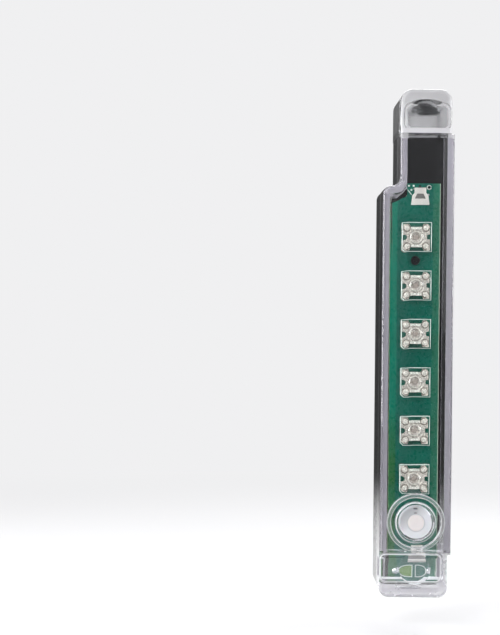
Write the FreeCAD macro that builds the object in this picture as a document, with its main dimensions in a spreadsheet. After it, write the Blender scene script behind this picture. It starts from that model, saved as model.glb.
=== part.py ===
import FreeCAD, Part
import math
import os
import re
import Sketcher
from FreeCAD import Placement, Rotation, Vector

# Bike underglow light bar, in millimetres.
# The origin is the centre of the back face, which lies on the bike's tube. +Z runs up the bar,
# +X is to the right and the lamps face -Y. A depth is the distance in front of the back face.

os.makedirs("parts", exist_ok=True)
doc = FreeCAD.newDocument("UnderglowBar")

SIZES = [
    # outline of the case, seen from the front
    ("case_left", -8.85, "left side of the case"),
    ("case_right", 8.85, "right side of the case"),
    ("case_bottom", -63.0, "lower end of the case"),
    ("case_top", 63.0, "upper end of the case"),
    ("case_depth", 23.0, "front face of the cover"),
    ("neck_left", -4.65, "left side of the offset neck"),
    ("shoulder_level", 39.05, "middle of the neck's shoulder"),
    ("shoulder_radius", 2.08, "both curves of the shoulder"),
    ("top_lug_right", 8.1, "right side of the top lug"),
    ("top_lug_foot", 51.9, "lower end of the top lug"),
    ("low_lug_right", 8.0, "right side of the bottom lug"),
    ("low_lug_head", -52.4, "upper end of the bottom lug"),
    ("top_corner", 3.0, "corner radius at the top"),
    ("bottom_corner", 2.4, "corner radius at the bottom"),
    ("front_round", 1.1, "rounding of the front edges"),
    # the clear cover
    ("wall", 1.8, "side wall of the cover"),
    ("cover_edge", 12.9, "depth of the cover's rear edge"),
    ("front_inside", 21.4, "depth of the front wall's inner face"),
    ("floor_back", 15.75, "rear face of the tunnel floors"),
    ("floor_front", 17.0, "front face of the tunnel floors"),
    ("tunnel_roof", 21.3, "rear face of the strap bridges"),
    ("lug_wall", 1.6, "wall between a lug and the main hollow"),
    ("tunnel_length", 5.3, "strap tunnel along the bar"),
    ("top_tunnel_low", 53.6, "lower wall of the top tunnel"),
    ("low_tunnel_low", -58.6, "lower wall of the bottom tunnel"),
    ("tunnel_side", 1.2, "side wall that each tunnel mouth goes through"),
    ("mouth_inset", 0.2, "how much smaller a tunnel's mouth is, all round"),
    ("dimple_radius", 3.9, "round recess in each tunnel"),
    ("dimple_depth", 0.4, "depth of the round recesses"),
    ("play", 0.1, "gap between cover and housing"),
    # the housing
    ("housing_edge", 12.2, "depth of the housing's shoulder"),
    ("deck_front", 13.5, "front face of the deck"),
    ("cell_depth", 7.05, "depth of the cells' axis"),
    ("bay_radius", 5.5, "half width of the cell bay"),
    ("bay_low", -53.5, "lower end of the bay's mouth"),
    ("bay_high", 38.1, "upper end of the bay"),
    ("end_pocket_half", 4.4, "half width of the contact pockets"),
    ("end_pocket_near", 2.5, "near side of the contact pockets"),
    ("end_pocket_far", 11.6, "far side of the contact pockets"),
    ("yoke_x", 1.7, "middle of the half-round yoke"),
    ("yoke_level", 57.4, "flat side of the half-round yoke"),
    ("yoke_radius", 3.8, "radius of the half-round yoke"),
    ("yoke_front", 15.3, "front of the half-round yoke"),
    ("yoke_arm", 0.6, "width of the yoke's two arms"),
    ("yoke_ear", 0.8, "height of the ears that join the arms to the post"),
    ("peg_level", 20.7, "height of the board's peg"),
    ("peg_radius", 1.05, "radius of the board's peg"),
    ("groove_width", 1.5, "groove for the lamps' solder joints"),
    ("groove_depth", 0.8, "depth of those grooves"),
    # the board
    ("board_half", 6.2, "half width of the board"),
    ("board_low", -60.0, "lower end of the board"),
    ("board_high", 40.1, "upper end of the board"),
    ("board_thick", 1.6, "thickness of the board"),
    ("board_neck_x", -2.06, "left side of the board's neck, at its upper end"),
    ("board_step_x", -2.6, "left side of the board's neck, at its foot"),
    ("board_step_z", 36.9, "foot of the board's neck"),
    ("board_side_z", 35.7, "upper end of the board's left side"),
    # the lamps
    ("lamp_first", 26.5, "height of the top lamp"),
    ("lamp_pitch", 12.1, "from one lamp to the next"),
    ("lamp_size", 7.4, "side of a lamp"),
    ("lamp_back", 15.6, "depth of a lamp's back"),
    ("lamp_front", 18.5, "depth of a lamp's face"),
    ("lamp_corner", 0.7, "cut corner of a lamp, along each side"),
    ("dome_radius", 2.6, "ball that the dome is part of"),
    ("dome_centre", 17.3, "depth of that ball's centre"),
    ("leg_half", 2.54, "half of the leg spacing"),
    ("leg_radius", 0.33, "radius of a leg"),
    ("leg_end", 12.95, "depth of the legs' ends"),
    ("frame_back", 16.5, "rear face of the lead frame"),
    ("frame_thick", 0.4, "thickness of the lead frame"),
    ("frame_half", 3.25, "half side of the lead frame"),
    ("plate_half", 2.2, "half height of the lead frame's middle"),
    ("plate_side", 2.35, "half width of the lead frame's middle"),
    ("post_notch", 1.15, "from a leg to the notch above or below the middle"),
    ("notch_mouth", 1.6, "half height of a side notch at its mouth"),
    ("notch_half", 0.8, "half height of a side notch at its end"),
    ("frame_gap_start", 1.15, "where the gap between the two plates starts"),
    ("frame_gap_turn", 1.9, "where the gap between the two plates turns"),
    ("frame_corner", 0.7, "cut corner of the lead frame, up and to the right"),
    ("post_radius", 0.85, "radius of a corner post"),
    ("post_front", 17.4, "front of the corner posts"),
    ("cup_radius", 2.15, "radius of the reflector cup"),
    ("cup_front", 17.6, "rim of the reflector cup"),
    ("cup_floor", 16.85, "floor of the reflector cup"),
    ("die_size", 0.5, "side of the die"),
    # contacts, cells and spring
    ("sheet_thick", 0.35, "thickness of the contact sheet"),
    ("contact_half", 4.2, "half width of a contact plate"),
    ("contact_near", 3.2, "near side of a contact plate"),
    ("contact_far", 10.9, "far side of a contact plate"),
    ("tab_x", 1.1, "middle of the folded tabs"),
    ("tab_narrow", 2.9, "narrow end of a tab"),
    ("tab_wide", 4.6, "wide end of a tab"),
    ("tab_length", 4.3, "length of a tab"),
    ("tab_shoulder", 2.4, "from a tab's wide end to its shoulder"),
    ("tab_shoulder_half", 1.95, "half width of a tab at its shoulder"),
    ("tab_waist", 3.0, "from a tab's wide end to its narrow part"),
    ("stamp_depth", 0.2, "depth of the stamped hollow in a tab"),
    ("stamp_low", 1.55, "from a tab's wide end to its hollow"),
    ("stamp_high", 2.85, "from a tab's wide end to the far end of its hollow"),
    ("stamp_wide", 1.4, "half width of the hollow at its wide end"),
    ("stamp_narrow", 0.8, "half width of the hollow at its narrow end"),
    ("upper_plate", 38.65, "lower face of the upper contact"),
    ("lower_plate", -55.15, "lower face of the lower contact"),
    ("cell_length", 44.5, "cell with its terminal"),
    ("cell_radius", 5.25, "cell with its sleeve"),
    ("can_radius", 5.1, "can without its sleeve"),
    ("terminal_radius", 1.9, "radius of the positive terminal"),
    ("terminal_height", 0.9, "height of the positive terminal"),
    ("wire_radius", 0.25, "battery spring's wire"),
    ("coil_wide", 3.5, "battery spring's coil radius at its foot"),
    ("coil_narrow", 2.0, "battery spring's coil radius at its top"),
    ("coil_turns", 3.5, "turns of the battery spring"),
    # the button
    ("button_level", -44.3, "height of the button's centre"),
    ("collar_outer", 7.2, "outer radius of the raised collar"),
    ("collar_inner", 6.1, "inner radius of the raised collar"),
    ("collar_front", 24.0, "front of the collar and the guide ring"),
    ("collar_round", 0.22, "rounding of the collar's and the guide ring's front edges"),
    ("guide_outer", 4.95, "outer radius of the guide ring"),
    ("guide_inner", 4.42, "inner radius of the guide ring"),
    ("cap_radius", 4.15, "radius of the cap"),
    ("cap_front", 23.9, "front of the cap"),
    ("cap_back", 20.4, "back of the cap's skirt"),
    ("cap_round", 0.4, "rounding of the cap's edge"),
    ("cap_roof", 22.6, "inner face of the cap's top"),
    ("cap_hollow", 3.2, "radius of the cap's hollow"),
    ("cap_spot", 2.0, "radius of the round centre"),
    ("cap_spot_front", 24.05, "front of the round centre"),
    ("stem_radius", 1.6, "radius of the cap's stem"),
    ("switch_half", 3.0, "half side of the switch"),
    ("switch_front", 18.5, "front of the switch body"),
    ("switch_plate", 18.8, "front of the switch's metal plate"),
    ("switch_bore", 1.9, "radius of the hole for the plunger"),
    ("plunger_radius", 1.7, "radius of the plunger"),
    ("plunger_back", 17.3, "back of the plunger"),
    ("plunger_front", 19.9, "front of the plunger"),
    # the battery door, its hinge and its screw
    ("door_half", 7.2, "half width of the door"),
    ("door_thick", 1.5, "thickness of the door"),
    ("door_neck_left", -2.95, "left side of the door's neck"),
    ("door_shoulder", 38.35, "height of the door's shoulder"),
    ("door_high", 49.5, "upper end of the door"),
    ("door_gap", 0.15, "gap round the door"),
    ("swing_room", 0.95, "room for the door's lower edges as it swings"),
    ("door_corner", 1.5, "corner radius of the door"),
    ("hinge_level", -57.2, "height of the hinge pin"),
    ("hinge_depth", 1.8, "depth of the hinge pin"),
    ("knuckle_half", 5.4, "half length of the door's knuckle"),
    ("knuckle_radius", 1.8, "radius of the door's knuckle"),
    ("knuckle_top", -54.9, "where the door's plate gets its full width"),
    ("knuckle_room", 2.4, "room round the hinge pin in the housing"),
    ("pin_radius", 0.75, "radius of the hinge pin"),
    ("pin_half", 7.4, "half length of the hinge pin"),
    ("pin_fit", 0.05, "gap round the hinge pin in the knuckle"),
    ("screw_x", 2.1, "middle of the door screw"),
    ("screw_level", 46.0, "height of the door screw"),
    ("screw_radius", 0.95, "radius of the screw's shank"),
    ("screw_fit", 0.07, "gap round the shank in the door"),
    ("screw_end", 7.0, "depth of the screw's end"),
    ("head_radius", 2.0, "radius of the screw's head"),
    ("head_near", 0.3, "depth of the head's outer face"),
    ("head_far", 1.5, "depth of the head's inner face"),
    ("counterbore", 2.15, "radius of the room for the head"),
    ("counterbore_depth", 1.6, "floor of the room for the head"),
    ("door_boss", 3.0, "radius of the door's screw boss"),
    ("door_boss_far", 2.8, "inner end of the door's screw boss"),
    ("clip_radius", 1.8, "radius of the retaining clip"),
    ("clip_near", 2.87, "near side of the retaining clip"),
    ("clip_far", 3.17, "far side of the retaining clip"),
    ("clip_slit_half", 0.4, "half width of the clip's opening"),
    ("drive_reach", 1.2, "half length of the cross in the screw's head"),
    ("drive_half", 0.25, "half width of the cross in the screw's head"),
    ("drive_depth", 0.7, "depth of the cross in the screw's head"),
    ("boss_radius", 2.9, "radius of the housing's screw boss"),
    ("boss_near", 3.5, "top of the housing's screw boss"),
    ("insert_radius", 1.75, "radius of the brass insert"),
    ("insert_bore", 1.25, "bore of the brass insert"),
    ("insert_far", 7.6, "inner end of the brass insert"),
    ("screw_room_low", 41.2, "lower side of the hollow round the boss"),
    ("screw_room_high", 49.0, "upper side of the hollow round the boss"),
    ("screw_room_far", 12.0, "depth of the hollow round the boss"),
    ("screw_room_left", -2.4, "left side of the hollow round the boss"),
    ("screw_room_right", 6.6, "right side of the hollow round the boss"),
    # parts on the back of the board
    ("chip_x", 4.95, "middle of the parts on the board's back"),
    ("chip_level", -4.0, "height of the controller chip"),
    ("chip_width", 1.6, "controller chip across"),
    ("chip_length", 2.9, "controller chip along"),
    ("chip_height", 1.0, "controller chip off the board"),
    ("chip_pin_pitch", 0.95, "from one chip pin to the next"),
    ("chip_pin_length", 0.5, "chip pin across"),
    ("chip_pin_half", 0.2, "half width of a chip pin"),
    ("chip_pin_thick", 0.35, "thickness of a chip pin"),
    ("small_half_width", 0.62, "half width of the resistors and the capacitor"),
    ("small_half_length", 1.0, "half length of the resistors and the capacitor"),
    ("resistor_height", 0.5, "resistors off the board"),
    ("capacitor_height", 1.0, "capacitor off the board"),
    ("resistor_1_level", 1.0, "height of the first resistor"),
    ("resistor_2_level", 4.0, "height of the second resistor"),
    ("capacitor_level", -9.5, "height of the capacitor"),
    ("blob_x", 4.4, "distance of the two solder blobs from the middle"),
    ("blob_level", -57.4, "height of the two solder blobs"),
    ("blob_foot", 0.8, "radius of a solder blob at the board"),
    ("blob_head", 0.35, "radius of a solder blob at its top"),
    ("blob_height", 0.45, "solder blob off the board"),
    ("chip_room_low", -14.0, "lower end of their recess in the deck"),
    ("chip_room_high", 6.0, "upper end of their recess in the deck"),
    ("chip_room_near", 12.2, "floor of their recess in the deck"),
]

LAMP_COUNT = 6
LEG_SIDES = [(-1, -1), (-1, 1), (1, -1), (1, 1)]
CUP_STEPS = (0.82, 0.6, 0.38)
WORD = re.compile(r"[a-z][a-z_0-9]*")


def make_sheet():
    sheet = doc.addObject("Spreadsheet::Sheet", "Sizes")
    for row, (alias, value, words) in enumerate(SIZES, start=1):
        sheet.set(f"A{row}", words)
        sheet.set(f"B{row}", str(value))
        sheet.setAlias(f"B{row}", alias)
    doc.recompute()
    return sheet


sheet = make_sheet()
ALIASES = {alias for alias, value, words in SIZES}
finished = []


def size(alias):
    return float(getattr(sheet, alias))


def linked(text):
    # every size's name in a formula is pointed at its cell in the sheet
    return WORD.sub(lambda m: "Sizes." + m.group() if m.group() in ALIASES else m.group(), text)


def bind(thing, target, text):
    thing.setExpression(target, linked(text))


def finish(thing, node):
    thing.Label = node
    finished.append(thing)
    return thing


# Plain solids. near and far are depths, so a solid reaches from y = -far to y = -near.

def slab(name, left, right, near, far, low, high):
    thing = doc.addObject("Part::Box", name)
    bind(thing, "Length", f"({right}) - ({left})")
    bind(thing, "Width", f"({far}) - ({near})")
    bind(thing, "Height", f"({high}) - ({low})")
    bind(thing, "Placement.Base.x", left)
    bind(thing, "Placement.Base.y", f"-({far})")
    bind(thing, "Placement.Base.z", low)
    return thing


def rod(name, turn, x, depth, z, radius, length):
    thing = doc.addObject("Part::Cylinder", name)
    thing.Placement = Placement(Vector(), turn)
    bind(thing, "Radius", radius)
    bind(thing, "Height", length)
    bind(thing, "Placement.Base.x", x)
    bind(thing, "Placement.Base.y", f"-({depth})")
    bind(thing, "Placement.Base.z", z)
    return thing


def rod_forward(name, x, z, radius, near, far):
    return rod(name, Rotation(Vector(1, 0, 0), 90), x, near, z, radius, f"({far}) - ({near})")


def rod_across(name, depth, z, radius, left, right):
    return rod(name, Rotation(Vector(0, 1, 0), 90), left, depth, z, radius, f"({right}) - ({left})")


def rod_upright(name, x, depth, radius, low, high):
    return rod(name, Rotation(), x, depth, low, radius, f"({high}) - ({low})")


def cut(name, base, tool):
    thing = doc.addObject("Part::Cut", name)
    thing.Base = base
    thing.Tool = tool
    return thing


def fuse(name, pieces):
    thing = doc.addObject("Part::MultiFuse", name)
    thing.Shapes = pieces
    thing.Refine = True
    return thing


def group(name, pieces):
    thing = doc.addObject("Part::Compound", name)
    thing.Links = pieces
    return thing


# Sketched solids.

def new_body(node):
    body = doc.addObject("PartDesign::Body", node)
    finish(body, node)
    return body


def new_sketch(body, name, role, offset):
    sketch = body.newObject("Sketcher::SketchObject", name)
    plane = [item for item in body.Origin.OriginFeatures if item.Role == role][0]
    sketch.AttachmentSupport = [(plane, "")]
    sketch.MapMode = "FlatFace"
    bind(sketch, "AttachmentOffset.Base.z", offset)
    return sketch


def draw_outline(sketch, corners):
    # a closed outline of straight lines, with both coordinates of each corner bound to the sheet
    first = sketch.GeometryCount
    count = len(corners)
    angles = [2 * math.pi * k / count for k in range(count)]
    spots = [Vector(math.cos(angle), math.sin(angle), 0) for angle in angles]
    for k in range(count):
        sketch.addGeometry(Part.LineSegment(spots[k], spots[(k + 1) % count]), False)
    for k in range(count):
        after = first + (k + 1) % count
        sketch.addConstraint(Sketcher.Constraint("Coincident", first + k, 2, after, 1))
    for k, (across, along) in enumerate(corners):
        for kind, text in (("DistanceX", across), ("DistanceY", along)):
            index = sketch.addConstraint(Sketcher.Constraint(kind, -1, 1, first + k, 1, 1.0))
            bind(sketch, f"Constraints[{index}]", text)


def draw_circle(sketch, across, along, radius):
    circle = sketch.addGeometry(Part.Circle(Vector(1, 1, 0), Vector(0, 0, 1), 1.0), False)
    for kind, text in (("DistanceX", across), ("DistanceY", along)):
        index = sketch.addConstraint(Sketcher.Constraint(kind, -1, 1, circle, 3, 1.0))
        bind(sketch, f"Constraints[{index}]", text)
    index = sketch.addConstraint(Sketcher.Constraint("Radius", circle, 1.0))
    bind(sketch, f"Constraints[{index}]", radius)


def box_corners(left, right, low, high):
    return [(left, low), (right, low), (right, high), (left, high)]


def pad(body, name, near, far, outlines=(), circles=(), role="XZ_Plane"):
    # material from one depth to another, in front of the body's own upright plane
    sketch = new_sketch(body, name + "_outline", role, near)
    for corners in outlines:
        draw_outline(sketch, corners)
    for across, along, radius in circles:
        draw_circle(sketch, across, along, radius)
    feature = body.newObject("PartDesign::Pad", name)
    feature.Profile = sketch
    bind(feature, "Length", f"({far}) - ({near})")
    doc.recompute()
    return feature


def pocket(body, name, near, far, outlines=(), circles=(), role="XZ_Plane"):
    # a hollow from one depth to another, checked to have taken material away
    before = body.Shape.Volume
    sketch = new_sketch(body, name + "_outline", role, near)
    for corners in outlines:
        draw_outline(sketch, corners)
    for across, along, radius in circles:
        draw_circle(sketch, across, along, radius)
    feature = body.newObject("PartDesign::Pocket", name)
    feature.Profile = sketch
    feature.Reversed = True
    bind(feature, "Length", f"({far}) - ({near})")
    doc.recompute()
    if not body.Shape.Volume < before - 1e-6:
        raise RuntimeError(f"{body.Label}: {name} takes nothing away")
    return feature


def round_edges(body, name, radius, test):
    # the edges of the body's last feature that pass the test get a rounding
    base = body.Tip
    names = [f"Edge{k}" for k, edge in enumerate(base.Shape.Edges, start=1) if test(edge)]
    if not names:
        raise RuntimeError(f"{body.Label}: {name} finds no edge")
    feature = body.newObject("PartDesign::Fillet", name)
    feature.Base = (base, names)
    bind(feature, "Radius", radius)
    doc.recompute()
    return feature


def along_depth_at(*corners):
    # picks the straight edges that run from back to front through one of the corners
    def test(edge):
        if not isinstance(edge.Curve, Part.Line):
            return False
        start, end = edge.firstVertex().Point, edge.lastVertex().Point
        if abs(start.y - end.y) < 0.2 or abs(start.x - end.x) > 1e-4 or abs(start.z - end.z) > 1e-4:
            return False
        return any(abs(start.x - x) < 1e-3 and abs(start.z - z) < 1e-3 for x, z in corners)
    return test


def flat_at_depth(depth):
    # picks the edges that lie wholly in the plane at one depth
    def test(edge):
        box = edge.BoundBox
        return abs(box.YMin + depth) < 1e-4 and abs(box.YMax + depth) < 1e-4
    return test


# The case.

def case_outline(inset, top):
    # the case's outline drawn in by inset, without the top lug's step, up to the level top
    return [
        (f"case_left + {inset}", f"case_bottom + {inset}"),
        (f"case_left + {inset}", f"shoulder_level - {inset}"),
        (f"neck_left + {inset}", f"shoulder_level - {inset}"),
        (f"neck_left + {inset}", top),
        (f"case_right - {inset}", top),
        (f"case_right - {inset}", f"low_lug_head + {inset}"),
        (f"low_lug_right - {inset}", f"low_lug_head + {inset}"),
        (f"low_lug_right - {inset}", f"case_bottom + {inset}"),
    ]


def make_front_cover():
    body = new_body("front_cover")
    outline = case_outline("0", "top_lug_foot")
    outline[4:4] = [("neck_left", "case_top"), ("top_lug_right", "case_top"),
                    ("top_lug_right", "top_lug_foot")]
    del outline[3]
    pad(body, "shell", "cover_edge", "case_depth", [outline])
    lug = box_corners("neck_left", "top_lug_right", "top_lug_foot", "case_top")
    pad(body, "lug_back", "0", "cover_edge", [lug])
    top, bottom = size("case_top"), size("case_bottom")
    left, neck = size("case_left"), size("neck_left")
    round_edges(body, "top_corners", "top_corner", along_depth_at((neck, top), (size("top_lug_right"), top)))
    round_edges(body, "bottom_corners", "bottom_corner",
                along_depth_at((left, bottom), (size("low_lug_right"), bottom)))
    shoulder = size("shoulder_level")
    round_edges(body, "shoulder", "shoulder_radius", along_depth_at((left, shoulder), (neck, shoulder)))
    round_edges(body, "front_edges", "front_round", flat_at_depth(size("case_depth")))

    # the hollow over the board, which runs on under the floors of both tunnels
    inner = case_outline("wall", "case_top - wall")
    inner[4:5] = [("top_lug_right - wall", "case_top - wall"),
                  ("top_lug_right - wall", "top_lug_foot + lug_wall"),
                  ("case_right - wall", "top_lug_foot + lug_wall")]
    pocket(body, "board_hollow", "cover_edge", "floor_back", [inner])
    lug_hollow = box_corners("neck_left + wall", "top_lug_right - wall",
                             "top_lug_foot + lug_wall", "case_top - wall")
    pocket(body, "lug_hollow", "0", "cover_edge", [lug_hollow])
    deep = [
        ("case_left + wall", "low_lug_head + 0.5"),
        ("case_left + wall", "shoulder_level - wall"),
        ("neck_left + wall", "shoulder_level - wall"),
        ("neck_left + wall", "top_lug_foot"),
        ("case_right - wall", "top_lug_foot"),
        ("case_right - wall", "low_lug_head + 0.5"),
    ]
    pocket(body, "lamp_hollow", "floor_back", "front_inside", [deep])

    # the strap tunnels, open to both sides, and their round recesses
    tunnels = (("top", "neck_left", "top_lug_right", "top_tunnel_low", "yoke_x"),
               ("low", "case_left", "low_lug_right", "low_tunnel_low", "0"))
    for end, side_left, side_right, low, middle in tunnels:
        high = f"{low} + tunnel_length"
        chamber = box_corners(f"{side_left} + tunnel_side", f"{side_right} - tunnel_side", low, high)
        pocket(body, end + "_tunnel", "floor_front", "tunnel_roof", [chamber])
        mouth = box_corners(f"{side_left} - 1", f"{side_right} + 1",
                            f"{low} + mouth_inset", f"{high} - mouth_inset")
        pocket(body, end + "_mouths", "floor_front", "tunnel_roof - mouth_inset", [mouth])
        spot = [(middle, f"{low} + tunnel_length / 2", "dimple_radius")]
        pocket(body, end + "_dimples", "floor_front - dimple_depth", "tunnel_roof + dimple_depth",
               circles=spot)

    # the raised collar and the guide ring of the button
    pad(body, "collar", "front_inside + 1", "collar_front",
        circles=[("0", "button_level", "collar_outer"), ("0", "button_level", "collar_inner")])
    pad(body, "guide_ring", "front_inside", "collar_front", circles=[("0", "button_level", "guide_outer")])
    pocket(body, "guide_bore", "front_inside - 0.5", "collar_front + 1",
           circles=[("0", "button_level", "guide_inner")])
    round_edges(body, "ring_edges", "collar_round", flat_at_depth(size("collar_front")))


def make_rear_housing():
    body = new_body("rear_housing")
    pad(body, "tray", "0", "housing_edge", [case_outline("play", "top_lug_foot - play")])
    play = size("play")
    left, right = size("case_left") + play, size("low_lug_right") - play
    bottom, shoulder = size("case_bottom") + play, size("shoulder_level") - play
    neck = size("neck_left") + play
    round_edges(body, "bottom_corners", "bottom_corner", along_depth_at((left, bottom), (right, bottom)))
    round_edges(body, "shoulder", "shoulder_radius", along_depth_at((left, shoulder), (neck, shoulder)))
    pad(body, "rim", "housing_edge - 1", "deck_front", [case_outline("(wall + play)", "top_lug_foot - play")])
    make_yoke(body)
    pad(body, "board_peg", "deck_front - 1", "lamp_back", circles=[("0", "peg_level", "peg_radius")])

    # the cell bay: a round-bottomed trough with a contact pocket at each end
    profile = box_corners("-bay_radius", "bay_radius", "-cell_depth", "1")
    pocket(body, "bay_mouth", "bay_low", "bay_high", [profile], role="XY_Plane")
    bay_circle = [("0", "-cell_depth", "bay_radius")]
    pocket(body, "bay_round", "bay_low", "bay_high", circles=bay_circle, role="XY_Plane")
    end_pocket = box_corners("-end_pocket_half", "end_pocket_half",
                             "lower_plate", "upper_plate + sheet_thick")
    pocket(body, "end_pockets", "end_pocket_near", "end_pocket_far", [end_pocket])
    neck_slot = ("tab_x - tab_narrow / 2 - 0.25", "tab_x + tab_narrow / 2 + 0.25")
    slots = [box_corners(*neck_slot, "upper_plate", "upper_plate + sheet_thick"),
             box_corners(*neck_slot, "lower_plate", "lower_plate + sheet_thick")]
    pocket(body, "contact_slots", "end_pocket_far - 0.5", "deck_front", slots)

    # recesses in the deck for what stands out of the board's back
    low, high = f"lamp_first - {LAMP_COUNT - 1} * lamp_pitch - leg_half - 1.1", "lamp_first + leg_half + 1.1"
    grooves = [box_corners(f"{side} * leg_half - groove_width / 2",
                           f"{side} * leg_half + groove_width / 2", low, high) for side in ("-1", "1")]
    pocket(body, "solder_grooves", "deck_front - groove_depth", "deck_front", grooves)
    chip_room = box_corners("leg_half + groove_width / 2 + 0.1", "board_half + 0.5",
                            "chip_room_low", "chip_room_high")
    pocket(body, "chip_recess", "chip_room_near", "deck_front", [chip_room])
    make_door_room(body)


def make_yoke(body):
    # a half-round post behind the top lug, held by two thin arms with an ear each
    sketch = new_sketch(body, "yoke_outline", "XZ_Plane", "cover_edge + 0.3")
    arc = Part.ArcOfCircle(Part.Circle(Vector(0, 2, 0), Vector(0, 0, 1), 1.0), 0, math.pi)
    sketch.addGeometry([arc, Part.LineSegment(Vector(-1, 2, 0), Vector(1, 2, 0))], False)
    sketch.addConstraint(Sketcher.Constraint("Coincident", 0, 1, 1, 2))
    sketch.addConstraint(Sketcher.Constraint("Coincident", 0, 2, 1, 1))
    sketch.addConstraint(Sketcher.Constraint("PointOnObject", 0, 3, 1))
    sketch.addConstraint(Sketcher.Constraint("Horizontal", 1))
    for kind, text in (("DistanceX", "yoke_x"), ("DistanceY", "yoke_level")):
        index = sketch.addConstraint(Sketcher.Constraint(kind, -1, 1, 0, 3, 2.0))
        bind(sketch, f"Constraints[{index}]", text)
    index = sketch.addConstraint(Sketcher.Constraint("Radius", 0, 1.0))
    bind(sketch, f"Constraints[{index}]", "yoke_radius")
    post = body.newObject("PartDesign::Pad", "yoke_post")
    post.Profile = sketch
    bind(post, "Length", "yoke_front - cover_edge - 0.3")
    foot, head = "top_lug_foot - 1", "yoke_level + yoke_ear"
    left, right = "yoke_x - yoke_radius + 0.1", "yoke_x + yoke_radius - 0.1"
    arms = [box_corners(f"{left} - yoke_arm", left, foot, head),
            box_corners(right, f"{right} + yoke_arm", foot, head)]
    pad(body, "yoke_arms", "cover_edge + 0.3", "yoke_front", arms)
    ears = [box_corners(f"{left} - yoke_arm", f"{left} + yoke_ear", "yoke_level", head),
            box_corners(f"{right} - yoke_ear", f"{right} + yoke_arm", "yoke_level", head)]
    pad(body, "yoke_ears", "cover_edge + 0.3", "yoke_front", ears)


def door_outline(grow, below):
    # the door's outline, let out by grow and by below under the edges beside its knuckle
    return [
        (f"-knuckle_half - {grow}", "hinge_level"),
        (f"-knuckle_half - {grow}", f"knuckle_top - {below}"),
        (f"-door_half - {grow}", f"knuckle_top - {below}"),
        (f"-door_half - {grow}", f"door_shoulder + {grow}"),
        (f"door_neck_left - {grow}", f"door_shoulder + {grow}"),
        (f"door_neck_left - {grow}", f"door_high + {grow}"),
        (f"door_half + {grow}", f"door_high + {grow}"),
        (f"door_half + {grow}", f"knuckle_top - {below}"),
        (f"knuckle_half + {grow}", f"knuckle_top - {below}"),
        (f"knuckle_half + {grow}", "hinge_level"),
    ]


def make_door_room(body):
    # the door's recess, the room round its knuckle, the pin's bore and the screw boss
    pocket(body, "door_recess", "0", "door_thick + 0.1", [door_outline("door_gap", "swing_room")])
    room = box_corners("-knuckle_half - door_gap", "knuckle_half + door_gap",
                       "hinge_level - knuckle_room", "hinge_level + knuckle_room")
    pocket(body, "knuckle_room", "0", "hinge_depth + knuckle_room", [room])
    profile = [("-hinge_depth", "hinge_level", "pin_radius")]
    pocket(body, "pin_bore", "-pin_half", "pin_half", circles=profile, role="YZ_Plane")
    hollow = box_corners("screw_room_left", "screw_room_right", "screw_room_low", "screw_room_high")
    pocket(body, "screw_room", "door_thick", "screw_room_far", [hollow],
           circles=[("screw_x", "screw_level", "boss_radius")])
    boss_top = [("screw_x", "screw_level", "boss_radius + 0.3")]
    pocket(body, "boss_top", "door_thick - 0.5", "boss_near", circles=boss_top)
    insert_bore = [("screw_x", "screw_level", "insert_radius")]
    pocket(body, "insert_bore", "boss_near - 0.5", "insert_far", circles=insert_bore)


def make_cover_seal():
    # an open gasket: two legs and a foot, between the cover's edge and the housing's shoulder
    body = new_body("cover_seal")
    pad(body, "gasket", "housing_edge", "cover_edge", [case_outline("(play * 3)", "top_lug_foot - play * 2")])
    inset = size("play") * 3
    left, right = size("case_left") + inset, size("low_lug_right") - inset
    bottom, shoulder = size("case_bottom") + inset, size("shoulder_level") - inset
    neck = size("neck_left") + inset
    round_edges(body, "bottom_corners", "bottom_corner", along_depth_at((left, bottom), (right, bottom)))
    round_edges(body, "shoulder", "shoulder_radius", along_depth_at((left, shoulder), (neck, shoulder)))
    inside = case_outline("(wall + play)", "top_lug_foot + 1")
    pocket(body, "inside", "housing_edge - 1", "cover_edge + 1", [inside])


# The board and its lamps.

def lamp_level(number):
    # the lamps are numbered from the top
    return f"lamp_first - {number - 1} * lamp_pitch"


def make_circuit_board():
    body = new_body("circuit_board")
    corners = [("-board_half", "board_low"), ("board_half", "board_low"), ("board_half", "board_high"),
               ("board_neck_x", "board_high"), ("board_step_x", "board_step_z"),
               ("-board_half", "board_side_z")]
    pad(body, "sheet", "deck_front", "deck_front + board_thick", [corners])
    legs = [(f"{dx} * leg_half", f"{lamp_level(number)} + {dz} * leg_half", "leg_radius + 0.12")
            for number in range(1, LAMP_COUNT + 1) for dx, dz in LEG_SIDES]
    pocket(body, "leg_holes", "deck_front - 1", "deck_front + board_thick + 1", circles=legs)
    neck = ("tab_x - tab_narrow / 2 - 0.3", "tab_x + tab_narrow / 2 + 0.3")
    slots = [box_corners(*neck, "upper_plate - 0.1", "upper_plate + sheet_thick + 0.1"),
             box_corners(*neck, "lower_plate - 0.1", "lower_plate + sheet_thick + 0.1")]
    pocket(body, "holes", "deck_front - 1", "deck_front + board_thick + 1", slots,
           [("0", "peg_level", "peg_radius + 0.1")])


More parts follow.
